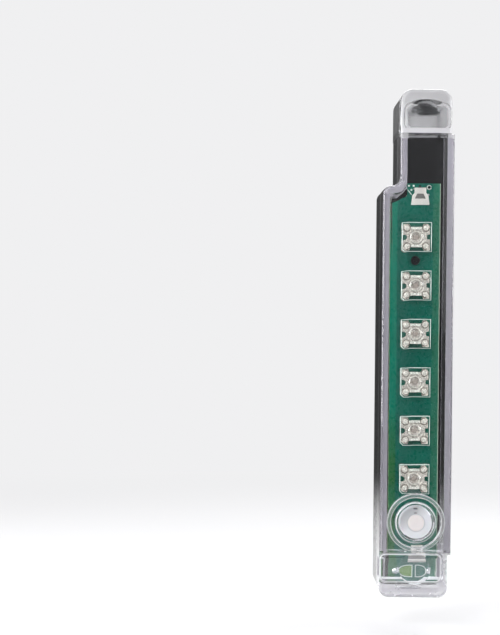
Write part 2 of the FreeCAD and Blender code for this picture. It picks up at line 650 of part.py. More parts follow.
def make_lamp(number):
    # lead frame first, then the clear block moulded round it, then the die in the cup
    name = f"lamp_{number}"
    level = lamp_level(number)
    frame = make_lead_frame(name, level)
    die = slab(f"{name}_die", "-die_size / 2", "die_size / 2", "cup_floor", "cup_floor + die_size / 2",
               f"{level} - die_size / 2", f"{level} + die_size / 2")
    finish(die, f"{name}_die")
    block = slab(f"{name}_block", "-lamp_size / 2", "lamp_size / 2", "lamp_back", "lamp_front",
                 f"{level} - lamp_size / 2", f"{level} + lamp_size / 2")
    corner = slab(f"{name}_corner", "0", "lamp_corner * sqrt(2)", "lamp_back - 1", "lamp_front + 1",
                  "0", "lamp_corner * sqrt(2)")
    corner.Placement = Placement(Vector(), Rotation(Vector(0, 1, 0), 45))
    bind(corner, "Placement.Base.x", "-lamp_size / 2 - lamp_corner")
    bind(corner, "Placement.Base.y", "-lamp_front - 1")
    bind(corner, "Placement.Base.z", f"{level} - lamp_size / 2")
    ball = doc.addObject("Part::Sphere", f"{name}_ball")
    bind(ball, "Radius", "dome_radius")
    bind(ball, "Placement.Base.y", "-dome_centre")
    bind(ball, "Placement.Base.z", level)
    room = slab(f"{name}_dome_room", "-dome_radius", "dome_radius",
                "lamp_front - 0.5", "lamp_front + dome_radius",
                f"{level} - dome_radius", f"{level} + dome_radius")
    dome = doc.addObject("Part::Common", f"{name}_dome")
    dome.Base = ball
    dome.Tool = room
    whole = fuse(f"{name}_clear", [cut(f"{name}_cut_block", block, corner), dome])
    inside = group(f"{name}_inside", [frame, die])
    finish(cut(f"{name}_lens", whole, inside), f"{name}_lens")


def mirrored_down(level, corners):
    # the corners above the lamp's middle, then the same corners below it in the other order
    return ([(across, f"{level} + {up}") for across, up in corners]
            + [(across, f"{level} - ({up})") for across, up in reversed(corners)])


def make_lead_frame(name, level):
    # one plate holds the cup and the two left legs, the other the two right legs, with a gap between
    body = new_body(f"{name}_frame")
    cup_plate = mirrored_down(level, [
        ("-leg_half + post_notch", "plate_half"), ("-leg_half + post_notch", "frame_half"),
        ("-frame_half", "frame_half"), ("-frame_half", "notch_mouth"), ("-plate_side", "notch_half")])
    cup_plate[0:0] = [("plate_side", f"{level} + notch_half"),
                      ("frame_gap_turn", f"{level} + frame_gap_turn - 0.4"),
                      ("frame_gap_start", f"{level} + plate_half")]
    cup_plate += [("frame_gap_start", f"{level} - plate_half"),
                  ("frame_gap_turn", f"{level} - frame_gap_turn + 0.4"),
                  ("plate_side", f"{level} - notch_half")]
    leg_plate = mirrored_down(level, [
        ("frame_half - 0.4", "notch_half"), ("frame_gap_turn + 0.2", "frame_gap_turn - 0.25"),
        ("leg_half - post_notch", "plate_half + 0.15"), ("leg_half - post_notch", "frame_half"),
        ("frame_half", "frame_half")])
    corner = leg_plate.index(("frame_half", f"{level} + frame_half"))
    leg_plate[corner:corner + 1] = [("frame_half - frame_corner", f"{level} + frame_half"),
                                    ("frame_half", f"{level} + frame_half - frame_corner")]
    pad(body, "plates", "frame_back", "frame_back + frame_thick", [cup_plate, leg_plate])
    legs = [(f"{dx} * leg_half", f"{level} + {dz} * leg_half") for dx, dz in LEG_SIDES]
    pad(body, "posts", "frame_back", "post_front", circles=[(*leg, "post_radius") for leg in legs])
    pad(body, "legs", "leg_end", "frame_back + 0.1", circles=[(*leg, "leg_radius") for leg in legs])
    pad(body, "cup", "frame_back", "cup_front", circles=[("0", level, "cup_radius")])
    for step, share in enumerate(CUP_STEPS, start=1):
        pocket(body, f"cup_step_{step}", f"cup_front - (cup_front - cup_floor) * {step} / {len(CUP_STEPS)}",
               "cup_front", circles=[("0", level, f"cup_radius * {share}")])
    return body


def make_board_solder():
    # a cone round each leg behind the board, and two blobs in front of its lower end
    joints = []
    for number in range(1, LAMP_COUNT + 1):
        for place, (dx, dz) in enumerate(LEG_SIDES):
            name = f"joint_{number}_{place}"
            x, z = f"{dx} * leg_half", f"{lamp_level(number)} + {dz} * leg_half"
            cone = doc.addObject("Part::Cone", name + "_cone")
            cone.Placement = Placement(Vector(), Rotation(Vector(1, 0, 0), 90))
            bind(cone, "Radius1", "leg_radius + 0.05")
            bind(cone, "Radius2", "leg_radius + 0.3")
            bind(cone, "Height", "deck_front - leg_end")
            bind(cone, "Placement.Base.x", x)
            bind(cone, "Placement.Base.y", "-leg_end")
            bind(cone, "Placement.Base.z", z)
            hole = rod_forward(name + "_hole", x, z, "leg_radius", "leg_end - 1", "deck_front + 1")
            joints.append(cut(name, cone, hole))
    for side in (-1, 1):
        name = "blob_left" if side < 0 else "blob_right"
        blob = doc.addObject("Part::Cone", name)
        blob.Placement = Placement(Vector(), Rotation(Vector(1, 0, 0), 90))
        bind(blob, "Radius1", "blob_foot")
        bind(blob, "Radius2", "blob_head")
        bind(blob, "Height", "blob_height")
        bind(blob, "Placement.Base.x", f"{side} * blob_x")
        bind(blob, "Placement.Base.y", "-deck_front - board_thick")
        bind(blob, "Placement.Base.z", "blob_level")
        joints.append(blob)
    finish(group("board_solder", joints), "board_solder")


def make_chip():
    # the controller chip and its six pins, on the back of the board
    low = "chip_level - chip_length / 2"
    finish(slab("controller_chip", "chip_x - chip_width / 2", "chip_x + chip_width / 2",
                "deck_front - chip_height", "deck_front - 0.1", low, f"{low} + chip_length"),
           "controller_chip")
    pins = []
    starts = (("left", "chip_x - chip_width / 2 - chip_pin_length"), ("right", "chip_x + chip_width / 2"))
    for side, start in starts:
        for k in (-1, 0, 1):
            level = f"chip_level + {k} * chip_pin_pitch"
            pins.append(slab(f"pin_{side}_{k + 1}", start, f"{start} + chip_pin_length",
                             "deck_front - chip_pin_thick", "deck_front",
                             f"{level} - chip_pin_half", f"{level} + chip_pin_half"))
    finish(group("chip_pins", pins), "chip_pins")


def make_small_part(node, height):
    # a resistor or the capacitor, lengthways on the back of the board
    finish(slab(node, "chip_x - small_half_width", "chip_x + small_half_width",
                f"deck_front - {height}", "deck_front",
                f"{node}_level - small_half_length", f"{node}_level + small_half_length"), node)


# Contacts, cells and spring.

def make_contact(node, plate, low):
    # a plate across the end of the bay, a neck through the board and a tab folded over its front
    body = new_body(node)
    face = "deck_front + board_thick"
    outline = [("-contact_half", "-contact_near"), ("-contact_half", "-contact_far"),
               ("tab_x - tab_narrow / 2", "-contact_far"),
               ("tab_x - tab_narrow / 2", f"-({face}) - sheet_thick"),
               ("tab_x + tab_narrow / 2", f"-({face}) - sheet_thick"),
               ("tab_x + tab_narrow / 2", "-contact_far"),
               ("contact_half", "-contact_far"), ("contact_half", "-contact_near")]
    pad(body, "plate", plate, f"{plate} + sheet_thick", [outline], role="XY_Plane")
    right = [("tab_wide / 2", low), ("tab_shoulder_half", f"{low} + tab_shoulder"),
             ("tab_narrow / 2", f"{low} + tab_waist"), ("tab_narrow / 2", f"{low} + tab_length")]
    tab = [(f"tab_x + {half}", level) for half, level in right]
    tab += [(f"tab_x - {half}", level) for half, level in reversed(right)]
    pad(body, "tab", face, f"{face} + sheet_thick", [tab])
    hollow = [("tab_x - stamp_wide", f"{low} + stamp_low"), ("tab_x + stamp_wide", f"{low} + stamp_low"),
              ("tab_x + stamp_narrow", f"{low} + stamp_high"), ("tab_x - stamp_narrow", f"{low} + stamp_high")]
    pocket(body, "stamp", f"{face} + sheet_thick - stamp_depth", f"{face} + sheet_thick", [hollow])


def make_cell(number, top):
    # one cell: its can, the sleeve round the can and the positive terminal on top
    name = f"cell_{number}"
    low, high = f"{top} - cell_length", f"{top} - terminal_height"
    finish(rod_upright(f"{name}_can", "0", "cell_depth", "can_radius", low, high), f"{name}_can")
    outer = rod_upright(f"{name}_sleeve_outer", "0", "cell_depth", "cell_radius",
                        f"{low} + 0.3", f"{high} - 0.3")
    inner = rod_upright(f"{name}_sleeve_inner", "0", "cell_depth", "can_radius", low, high)
    finish(cut(f"{name}_sleeve", outer, inner), f"{name}_sleeve")
    terminal = rod_upright(f"{name}_terminal", "0", "cell_depth", "terminal_radius", high, top)
    finish(terminal, f"{name}_terminal")


def coil_point(angle, foot, rise, turns):
    # a point on the conical coil's centre line, and the line's direction there
    share = angle / (2 * math.pi * turns)
    radius = size("coil_wide") + (size("coil_narrow") - size("coil_wide")) * share
    slope = (size("coil_narrow") - size("coil_wide")) / (2 * math.pi * turns)
    point = Vector(radius * math.cos(angle), radius * math.sin(angle) - size("cell_depth"),
                   foot + rise * share)
    along = Vector(slope * math.cos(angle) - radius * math.sin(angle),
                   slope * math.sin(angle) + radius * math.cos(angle), rise / (2 * math.pi * turns))
    return point, along.normalize()


def arc_through(start, corner, end):
    # the arc from start to end whose end tangents meet at corner
    middle = (start + end) * 0.5
    reach = (corner - start).Length
    half_chord = (end - start).Length / 2
    turn = math.acos(min(1.0, half_chord / reach))
    rise = half_chord * math.tan(turn / 2)
    return Part.Arc(start, middle + (corner - middle).normalize() * rise, end).toShape()


def biarc(start, start_way, end, end_way):
    # two arcs that leave start along start_way, meet smoothly and reach end along end_way
    gap, ways = end - start, start_way + end_way
    bend = 2 * (1 - start_way.dot(end_way))
    reach = (-gap.dot(ways) + math.sqrt(gap.dot(ways) ** 2 + bend * gap.dot(gap))) / bend
    first, second = start + start_way * reach, end - end_way * reach
    join = (first + second) * 0.5
    return [arc_through(start, first, join), arc_through(join, second, end)]


def make_battery_spring():
    # a conical coil of round wire between the lower contact and the lower cell
    wire, turns = size("wire_radius"), size("coil_turns")
    foot = size("lower_plate") + size("sheet_thick") + wire + 0.02
    head = size("upper_plate") - 2 * size("cell_length") - wire - 0.02
    steps = round(turns * 4)
    places = [coil_point(k * math.pi / 2, foot, head - foot, turns) for k in range(steps + 1)]
    edges = []
    for (start, start_way), (end, end_way) in zip(places, places[1:]):
        edges += biarc(start, start_way, end, end_way)
    path = Part.Wire(edges)
    point, way = places[0]
    ring = Part.Wire(Part.Circle(point, way, wire).toShape())
    tube = path.makePipeShell([ring], True, False)
    spring = doc.addObject("Part::Feature", "battery_spring")
    spring.Shape = tube
    spring.Placement = Placement()
    finish(spring, "battery_spring")
    samples = [coil_point(2 * math.pi * turns * k / 700, foot, head - foot, turns)[0] for k in range(701)]
    per_turn = 700 / turns
    gaps = [(a - b).Length - 2 * wire for i, a in enumerate(samples) for j, b in enumerate(samples)
            if j - i > per_turn / 2]
    length = path.Length
    print(f"battery spring: least gap {min(gaps):.3f} mm, wire {length:.2f} mm long, "
          f"volume {tube.Volume:.3f} against {math.pi * wire ** 2 * length:.3f} mm3")


# The button.

def make_button():
    body = new_body("button_cap")
    spot = ("0", "button_level")
    pad(body, "crown", "cap_back", "cap_front", circles=[(*spot, "cap_radius")])
    round_edges(body, "crown_edge", "cap_round", flat_at_depth(size("cap_front")))
    pocket(body, "hollow", "cap_back", "cap_roof", circles=[(*spot, "cap_hollow"), (*spot, "stem_radius")])
    pad(body, "stem", "plunger_front", "cap_roof", circles=[(*spot, "stem_radius")])
    pad(body, "round_centre", "cap_front - 0.5", "cap_spot_front", circles=[(*spot, "cap_spot")])


def make_switch():
    board = "deck_front + board_thick"
    low, high = "button_level - switch_half", "button_level + switch_half"
    block = slab("switch_block", "-switch_half", "switch_half", board, "switch_front", low, high)
    well = rod_forward("switch_well", "0", "button_level", "switch_bore",
                       "plunger_back - 1", "switch_front + 1")
    finish(cut("switch_body", block, well), "switch_body")
    plate = slab("switch_sheet", "-switch_half", "switch_half", "switch_front", "switch_plate", low, high)
    hole = rod_forward("switch_hole", "0", "button_level", "switch_bore",
                       "switch_front - 1", "switch_plate + 1")
    finish(cut("switch_frame", plate, hole), "switch_frame")
    plunger = rod_forward("switch_plunger", "0", "button_level", "plunger_radius",
                          "plunger_back", "plunger_front")
    finish(plunger, "switch_plunger")


# The battery door, its hinge and its screw.

def make_battery_door():
    body = new_body("battery_door")
    pad(body, "plate", "0", "door_thick", [door_outline("0", "0")])
    half, neck = size("door_half"), size("door_neck_left")
    shoulder, high = size("door_shoulder"), size("door_high")
    round_edges(body, "corners", "door_corner",
                along_depth_at((-half, shoulder), (neck, high), (half, high)))
    profile = [("-hinge_depth", "hinge_level", "knuckle_radius")]
    pad(body, "knuckle", "-knuckle_half", "knuckle_half", circles=profile, role="YZ_Plane")
    bore = [("-hinge_depth", "hinge_level", "pin_radius + pin_fit")]
    pocket(body, "knuckle_bore", "-knuckle_half - 1", "knuckle_half + 1", circles=bore, role="YZ_Plane")
    spot = ("screw_x", "screw_level")
    pad(body, "screw_boss", "door_thick - 0.5", "door_boss_far", circles=[(*spot, "door_boss")])
    pocket(body, "head_room", "-1", "counterbore_depth", circles=[(*spot, "counterbore")])
    pocket(body, "shank_hole", "-1", "door_boss_far + 1", circles=[(*spot, "screw_radius + screw_fit")])


def make_hinge_pin():
    pin = rod_across("hinge_pin", "hinge_depth", "hinge_level", "pin_radius", "-pin_half", "pin_half")
    finish(pin, "hinge_pin")


def make_door_screw():
    spot = ("screw_x", "screw_level")
    head = rod_forward("screw_head", *spot, "head_radius", "head_near", "head_far")
    shank = rod_forward("screw_shank", *spot, "screw_radius", "head_far - 0.2", "screw_end")
    slot_across = slab("drive_across", "screw_x - drive_reach", "screw_x + drive_reach", "head_near - 0.5",
                       "head_near + drive_depth", "screw_level - drive_half", "screw_level + drive_half")
    slot_along = slab("drive_along", "screw_x - drive_half", "screw_x + drive_half", "head_near - 0.5",
                      "head_near + drive_depth", "screw_level - drive_reach", "screw_level + drive_reach")
    blank = fuse("screw_blank", [head, shank])
    finish(cut("door_screw", blank, fuse("screw_drive", [slot_across, slot_along])), "door_screw")
    ring = rod_forward("clip_outer", *spot, "clip_radius", "clip_near", "clip_far")
    hole = rod_forward("clip_inner", *spot, "screw_radius", "clip_near - 1", "clip_far + 1")
    slit = slab("clip_slit", "screw_x - clip_slit_half", "screw_x + clip_slit_half",
                "clip_near - 1", "clip_far + 1", "screw_level - clip_radius - 1", "screw_level")
    finish(cut("door_screw_clip", ring, fuse("clip_opening", [hole, slit])), "door_screw_clip")


def make_screw_insert():
    spot = ("screw_x", "screw_level")
    sleeve = rod_forward("insert_sleeve", *spot, "insert_radius", "boss_near", "insert_far")
    bore = rod_forward("insert_hole", *spot, "insert_bore", "boss_near - 1", "insert_far + 1")
    finish(cut("screw_insert", sleeve, bore), "screw_insert")


def make_all():
    make_front_cover()
    make_rear_housing()
    make_cover_seal()
    make_circuit_board()
    for number in range(1, LAMP_COUNT + 1):
        make_lamp(number)
    make_board_solder()
    make_chip()
    make_small_part("resistor_1", "resistor_height")
    make_small_part("resistor_2", "resistor_height")
    make_small_part("capacitor", "capacitor_height")
    make_contact("upper_contact", "upper_plate", "upper_plate + sheet_thick - tab_length")
    make_contact("lower_contact", "lower_plate", "lower_plate")
    make_cell(1, "upper_plate")
    make_cell(2, "upper_plate - cell_length")
    make_battery_spring()
    make_button()
    make_switch()
    make_battery_door()
    make_hinge_pin()
    make_door_screw()
    make_screw_insert()


def check_and_write():
    doc.recompute()
    for thing in doc.Objects:
        if "Invalid" in thing.State or "Error" in thing.State:
            raise RuntimeError(f"{thing.Name} failed: {thing.getStatusString()}")
    for thing in finished:
        shape = thing.Shape
        if shape.isNull() or not shape.isValid() or not shape.Solids:
            raise RuntimeError(f"{thing.Label} has no valid solid")
    for thing in finished:
        thing.Shape.exportStep(f"parts/{thing.Label}.step")
        box = thing.Shape.BoundBox
        print(f"{thing.Label}: {len(thing.Shape.Solids)} solids, {thing.Shape.Volume:.1f} mm3, "
              f"x {box.XMin:.2f} {box.XMax:.2f}, y {box.YMin:.2f} {box.YMax:.2f}, "
              f"z {box.ZMin:.2f} {box.ZMax:.2f}")
    print(f"{len(finished)} nodes")


make_all()
check_and_write()
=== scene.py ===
"""Looks of the underglow light bar: clear case, green board, square lamps, push button and battery bay."""
import logging
import math
from dataclasses import dataclass
from enum import Enum
from typing import Callable

import bmesh
import bpy
import numpy as np
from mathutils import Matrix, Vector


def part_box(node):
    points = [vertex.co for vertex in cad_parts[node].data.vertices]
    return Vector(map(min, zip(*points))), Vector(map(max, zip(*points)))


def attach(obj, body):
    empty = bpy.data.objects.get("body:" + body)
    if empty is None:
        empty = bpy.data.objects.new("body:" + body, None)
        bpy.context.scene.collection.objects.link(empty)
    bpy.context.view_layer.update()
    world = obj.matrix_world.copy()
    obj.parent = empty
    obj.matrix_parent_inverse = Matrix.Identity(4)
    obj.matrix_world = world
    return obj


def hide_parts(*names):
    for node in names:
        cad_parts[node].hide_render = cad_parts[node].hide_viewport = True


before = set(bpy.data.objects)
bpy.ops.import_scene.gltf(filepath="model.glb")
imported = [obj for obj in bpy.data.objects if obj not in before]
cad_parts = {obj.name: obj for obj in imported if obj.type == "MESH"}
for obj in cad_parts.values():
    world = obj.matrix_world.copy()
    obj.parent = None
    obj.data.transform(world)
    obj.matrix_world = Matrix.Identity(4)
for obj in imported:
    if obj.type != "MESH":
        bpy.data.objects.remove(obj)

log = logging.getLogger("light_bar")
logging.basicConfig(level=logging.INFO, format="%(message)s")

MM = 0.001
BAR = "light_body"
BUTTON = "mode_button"
DOOR = "door"
SCREW = "captive_screw"
BUTTON_Z = -44.3
LAMPS = 6
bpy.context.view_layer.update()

Array = np.ndarray
Piece = bpy.types.Object
Socket = bpy.types.NodeSocket
Push = Callable[[Array, Array], Array]
Colour = tuple[float, float, float]
Pair = tuple[float, float]
Row = tuple[float, ...]


class Facing(Enum):
    """Which way the flat side of a half-round mark points."""
    LEFT = -1
    RIGHT = 1


# Mesh helpers

def bell(value: Array, middle: float, width: float, power: int = 2) -> Array:
    """The bell shape exp(-((value - middle) / width) ^ power)."""
    return np.exp(-((value - middle) / width) ** power)


def place_points(x: Array, depth: Array | float, z: Array) -> Array:
    """Points of x, y and z in millimetres, where depth counts towards the front."""
    return np.stack(np.broadcast_arrays(x, -depth, z), axis=-1)


def even_turn(count: int) -> Array:
    """Count angles, evenly round the circle."""
    return np.linspace(0, 2 * np.pi, count, endpoint=False)


def put_object(name: str, data: bpy.types.ID) -> Piece:
    """Makes an object of a mesh, a lamp or a camera, and links it to the scene."""
    obj = bpy.data.objects.new(name, data)
    bpy.context.scene.collection.objects.link(obj)
    return obj


def put_mesh(name: str, points: Array, smooth: bool = True) -> Piece:
    """Makes an object from rings of points, with doubled points merged and faces turned outwards.

    The face that starts at point p of ring r has the corners (r, p), (r, p + 1), (r + 1, p + 1) and (r + 1, p).
    Each ring closes on itself.

    Args:
        name: the piece's name.
        points: the corners in millimetres, by ring and by place in the ring, or several such sets at once.
        smooth: whether the faces are shaded smooth, with creases over 35 degrees kept.

    Returns:
        The new object, linked to the scene, in metres.
    """
    rings, sides = points.shape[-3:-1]
    ring, place = np.arange(rings - 1)[:, None] * sides, np.arange(sides)
    after = (place + 1) % sides
    corners = (ring + place, ring + after, ring + sides + after, ring + sides + place)
    quads = np.stack(corners, axis=-1).reshape(-1, 4)
    points = points.reshape(-1, 3)
    quads = (np.arange(0, len(points), rings * sides)[:, None, None] + quads).reshape(-1, 4)
    mesh = bpy.data.meshes.new(name)
    mesh.vertices.add(len(points))
    mesh.vertices.foreach_set("co", (points * MM).astype(np.float32).ravel())
    mesh.loops.add(quads.size)
    mesh.loops.foreach_set("vertex_index", quads.astype(np.int32).ravel())
    mesh.polygons.add(len(quads))
    mesh.polygons.foreach_set("loop_start", np.arange(0, quads.size, 4, dtype=np.int32))
    mesh.update(calc_edges=True)
    tidy_mesh(mesh, 0.5e-6)
    if smooth:
        shade(mesh, 35.0)
    return put_object(name, mesh)


def tidy_mesh(mesh: bpy.types.Mesh, reach: float, flat: float = 0.0) -> None:
    """Merges points closer than reach, joins faces that lie in one plane and turns all faces outwards."""
    work = bmesh.new()
    work.from_mesh(mesh)
    bmesh.ops.remove_doubles(work, verts=work.verts, dist=reach)
    bmesh.ops.dissolve_degenerate(work, edges=work.edges, dist=reach * 0.5)
    if flat:
        bmesh.ops.dissolve_limit(work, angle_limit=math.radians(flat), verts=work.verts, edges=work.edges)
    bmesh.ops.recalc_face_normals(work, faces=work.faces)
    work.to_mesh(mesh)
    work.free()
    mesh.update()


def shade(mesh: bpy.types.Mesh, degrees: float) -> None:
    """Shades a mesh smooth, but keeps edges sharper than the angle."""
    mesh.shade_smooth()
    mesh.set_sharp_from_angle(angle=math.radians(degrees))


def lathe(name: str, profile: Array, centre: Pair, steps: int, push: Push | None = None) -> Piece:
    """Turns a profile about a line that runs from back to front.

    A point at radius r and depth d goes to x = cx + r cos(a), y = -d, z = cz + r sin(a) for each angle a.
    Both ends of the profile lie on the line, so the poles are closed.

    Args:
        name: the piece's name.
        profile: rows of (radius, depth) in millimetres.
        centre: x and z of the turning line.
        steps: how many angles go round.
        push: an optional extra depth, worked out from the x and z of every point.

    Returns:
        The new object.
    """
    angle, radius, depth = even_turn(steps), profile[:, :1], profile[:, 1:]
    x, z = radius * np.cos(angle), radius * np.sin(angle)
    if push is not None:
        depth = depth + push(x, z)
    return put_mesh(name, place_points(centre[0] + x, depth, centre[1] + z))


def tube(name: str, path: Array, radius: float) -> Piece:
    """Carries an eight-sided circle along a path, with its ends drawn to a point.

    The path lies across the depth. The circle's two axes at each point are the path's direction crossed with the
    line of depth and crossed again.

    Args:
        name: the piece's name.
        path: the centre line's points in millimetres.
        radius: the tube's radius.

    Returns:
        The new object.
    """
    along = np.gradient(path, axis=0)
    along /= np.linalg.norm(along, axis=1, keepdims=True)
    across = np.cross(along, [0.0, 1.0, 0.0])
    across /= np.linalg.norm(across, axis=1, keepdims=True)
    over = np.cross(across, along)
    angle = even_turn(8)[:, None]
    rings = path[:, None] + (across[:, None] * np.cos(angle) + over[:, None] * np.sin(angle)) * radius
    rings = np.concatenate([rings[:1] * 0 + path[:1, None], rings, rings[-1:] * 0 + path[-1:, None]])
    return put_mesh(name, rings)


def vectors(parts: bpy.types.bpy_prop_collection, name: str) -> Array:
    """Reads one vector of every vertex or face into an array with a row for each."""
    values = np.empty(len(parts) * 3)
    parts.foreach_get(name, values)
    return values.reshape(-1, 3)


def mark(mesh: bpy.types.Mesh, name: str, domain: str, values: Array) -> None:
    """Keeps one number for every vertex, edge or face of a mesh, under a name that the finishes can read."""
    layer = mesh.attributes.new(name, "FLOAT", domain)
    layer.data.foreach_set("value", values.astype(np.float32))


def cad_copy(name: str, node: str, edge: float = 0.0) -> Piece:
    """A merged copy of a solid's mesh with flat stretches joined, its hard edges rounded by edge millimetres."""
    obj = put_object(name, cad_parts[node].data.copy())
    tidy_mesh(obj.data, 2e-6, 0.3)
    shade(obj.data, 25.0)
    if edge:
        soften(obj, edge)
    return obj


def soften(obj: Piece, width: float) -> None:
    """Rounds an object's hard edges by width millimetres."""
    bevel = add_bevel(obj, "soft_edges", width, 2, "ANGLE")
    bevel.angle_limit = math.radians(40)


def round_upright(obj: Piece, x: float, z: float, radius: float) -> None:
    """Rounds the hard edge that runs along the depth at x and z, radius millimetres to either side."""
    mesh = obj.data
    ends = np.empty(len(mesh.edges) * 2, np.int32)
    mesh.edges.foreach_get("vertices", ends)
    near = np.hypot(*(vectors(mesh.vertices, "co")[:, [0, 2]] / MM - (x, z)).T) < 0.05
    mark(mesh, "bevel_weight_edge", "EDGE", near[ends.reshape(-1, 2)].all(axis=1))
    add_bevel(obj, "round_corner", radius, 10, "WEIGHT").use_clamp_overlap = False


def add_bevel(obj: Piece, name: str, width: float, segments: int, method: str) -> bpy.types.Modifier:
    """Adds a bevel of width millimetres to the edges that method picks."""
    bevel = obj.modifiers.new(name, "BEVEL")
    bevel.width, bevel.segments, bevel.limit_method = width * MM, segments, method
    return bevel


# Node materials

class Tree:
    """A node tree, with short calls for the nodes that the world and the finishes need."""

    def __init__(self, tree: bpy.types.NodeTree) -> None:
        """Starts without nodes."""
        self.tree = tree
        tree.nodes.clear()

    def add(self, kind: str, inputs: dict[int | str, object] | None = None, **settings: object) -> bpy.types.Node:
        """Adds a node, sets its own properties and fills its inputs, which are named or numbered."""
        node = self.tree.nodes.new(kind)
        for key, value in settings.items():
            setattr(node, key, value)
        for key, value in (inputs or {}).items():
            self.put(value, node.inputs[key])
        return node

    def put(self, value: object, socket: Socket) -> None:
        """Links a socket, or sets its number or colour where value is one."""
        if isinstance(value, Socket):
            self.tree.links.new(value, socket)
        else:
            socket.default_value = value

    def math(self, operation: str, first: object, second: object = 0.0, third: object = 0.0) -> Socket:
        """One arithmetic step."""
        return self.add("ShaderNodeMath", {0: first, 1: second, 2: third}, operation=operation).outputs[0]

    def times(self, first: object, second: object) -> Socket:
        """The two values multiplied."""
        return self.math("MULTIPLY", first, second)

    def most(self, first: object, second: object) -> Socket:
        """The larger of two values."""
        return self.math("MAXIMUM", first, second)

    def away(self, value: Socket, middle: float) -> Socket:
        """How far value lies from middle."""
        return self.math("ABSOLUTE", self.math("SUBTRACT", value, middle))

    def past(self, value: Socket, edge: float, blur: float) -> Socket:
        """One where value lies past edge and zero before it, with a step blur wide to either side."""
        return self.ramp(value, edge - blur, edge + blur)

    def between(self, value: Socket, low: float, high: float, blur: float) -> Socket:
        """One where value lies between low and high, zero outside, with soft ends blur wide."""
        return self.times(self.past(value, low, blur), self.past(value, high, -blur))

    def band(self, value: Socket, low: float, high: float, strength: float, blur: float) -> Socket:
        """Strength where value lies between low and high, zero outside, with soft ends blur wide."""
        return self.times(self.between(value, low, high, blur), strength)

    def ramp(self, value: Socket, start: float, end: float, low: float = 0.0, high: float = 1.0) -> Socket:
        """Carries value from low at start to high at end, held beyond."""
        inputs = dict(enumerate((value, start, end, low, high)))
        return self.add("ShaderNodeMapRange", inputs, interpolation_type="SMOOTHSTEP").outputs[0]

    def mix(self, share: object, first: object, second: object) -> Socket:
        """Mixes two colours by share."""
        first, second = ((*value, 1.0) if isinstance(value, tuple) else value for value in (first, second))
        return self.add("ShaderNodeMix", {0: share, 6: first, 7: second}, data_type="RGBA").outputs[2]


class Graph(Tree):
    """A material's node tree with its output, its shader and its coordinates in millimetres."""

    def __init__(self, name: str) -> None:
        """Starts an empty material."""
        self.material = bpy.data.materials.new(name)
        self.material.use_nodes = True
        super().__init__(self.material.node_tree)
        self.output = self.add("ShaderNodeOutputMaterial")
        self.shader = self.add("ShaderNodeBsdfPrincipled")
        self.put(self.shader.outputs[0], self.output.inputs[0])
        metres = self.add("ShaderNodeTexCoord").outputs["Object"]
        self.place = self.add("ShaderNodeVectorMath", {0: metres, "Scale": 1 / MM}, operation="SCALE").outputs[0]
        self.x, self.y, self.z = self.add("ShaderNodeSeparateXYZ", {0: self.place}).outputs

    def set(self, **values: object) -> None:
        """Sets or links the shader's inputs, named with underscores for spaces."""
        for key, value in values.items():
            if isinstance(value, tuple) and len(value) == 3:
                value = (*value, 1.0)
            self.put(value, self.shader.inputs[key.replace("_", " ")])

    def oval(self, x: float, z: float, half_x: float = 1.0, half_z: float = 1.0) -> Socket:
        """The square of the distance from x and z, where half_x and half_z each count as one."""
        across = self.math("DIVIDE", self.math("SUBTRACT", self.x, x), half_x)
        along = self.math("DIVIDE", self.math("SUBTRACT", self.z, z), half_z)
        return self.math("MULTIPLY_ADD", across, across, self.times(along, along))

    def marked(self, name: str) -> Socket:
        """What a piece's attribute says, zero where it has none of that name."""
        return self.add("ShaderNodeAttribute", attribute_name=name).outputs["Fac"]

    def noise(self, scale: float, detail: float = 3.0, stretch: Colour = (1, 1, 1)) -> Socket:
        """Noise with about scale features to the millimetre, stretched along the axes."""
        drawn = self.add("ShaderNodeMapping", {"Vector": self.place, "Scale": stretch}).outputs[0]
        inputs = {"Vector": drawn, "Scale": scale, "Detail": detail, "Roughness": 0.55}
        return self.add("ShaderNodeTexNoise", inputs).outputs["Fac"]

    def mottle(self, scale: float, low: float, high: float, detail: float = 3.0) -> Socket:
        """A value that wanders between low and high over the surface."""
        return self.ramp(self.noise(scale, detail), 0.3, 0.7, low, high)

    def bump(self, height: Socket, depth: float) -> None:
        """Raises the surface by height times depth millimetres."""
        node = self.add("ShaderNodeBump", {"Distance": depth * MM, "Strength": 1.0, "Height": height})
        self.set(Normal=node.outputs[0])

    def blend_in(self, share: Socket, other: bpy.types.Node) -> None:
        """Mixes another shader over the material by share."""
        both = self.add("ShaderNodeMixShader", {0: share, 1: self.shader.outputs[0], 2: other.outputs[0]})
        self.put(both.outputs[0], self.output.inputs[0])

    def let_light_through(self, tint: Colour) -> None:
        """Lets lamp light pass straight through to what the clear piece covers, tinted."""
        clear = self.add("ShaderNodeBsdfTransparent", {0: (*tint, 1.0)})
        self.blend_in(self.add("ShaderNodeLightPath").outputs["Is Shadow Ray"], clear)

    def skin(self, *pieces: Piece) -> None:
        """Gives the material to pieces, or to every slot of CAD nodes."""
        for obj in pieces:
            if not obj.material_slots:
                obj.data.materials.append(self.material)
            for slot in obj.material_slots:
                slot.material = self.material

    def skin_nodes(self, *names: str) -> None:
        """Gives the material to CAD nodes."""
        self.skin(*(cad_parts[name] for name in names))

    def dress(self, piece: Piece, body: str, slot: str, node: str = "") -> None:
        """Gives a piece its material and its body, and hides the CAD node that it stands for.

        Args:
            piece: the finished piece.
            body: the body that it rides on.
            slot: not used.
            node: the CAD node that it stands for, if any.
        """
        self.skin(piece)
        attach(piece, body)
        if node:
            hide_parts(node)


# Finishes

def darker(colour: Colour, share: float) -> Colour:
    """The colour with each part multiplied by share."""
    return tuple(share * part for part in colour)


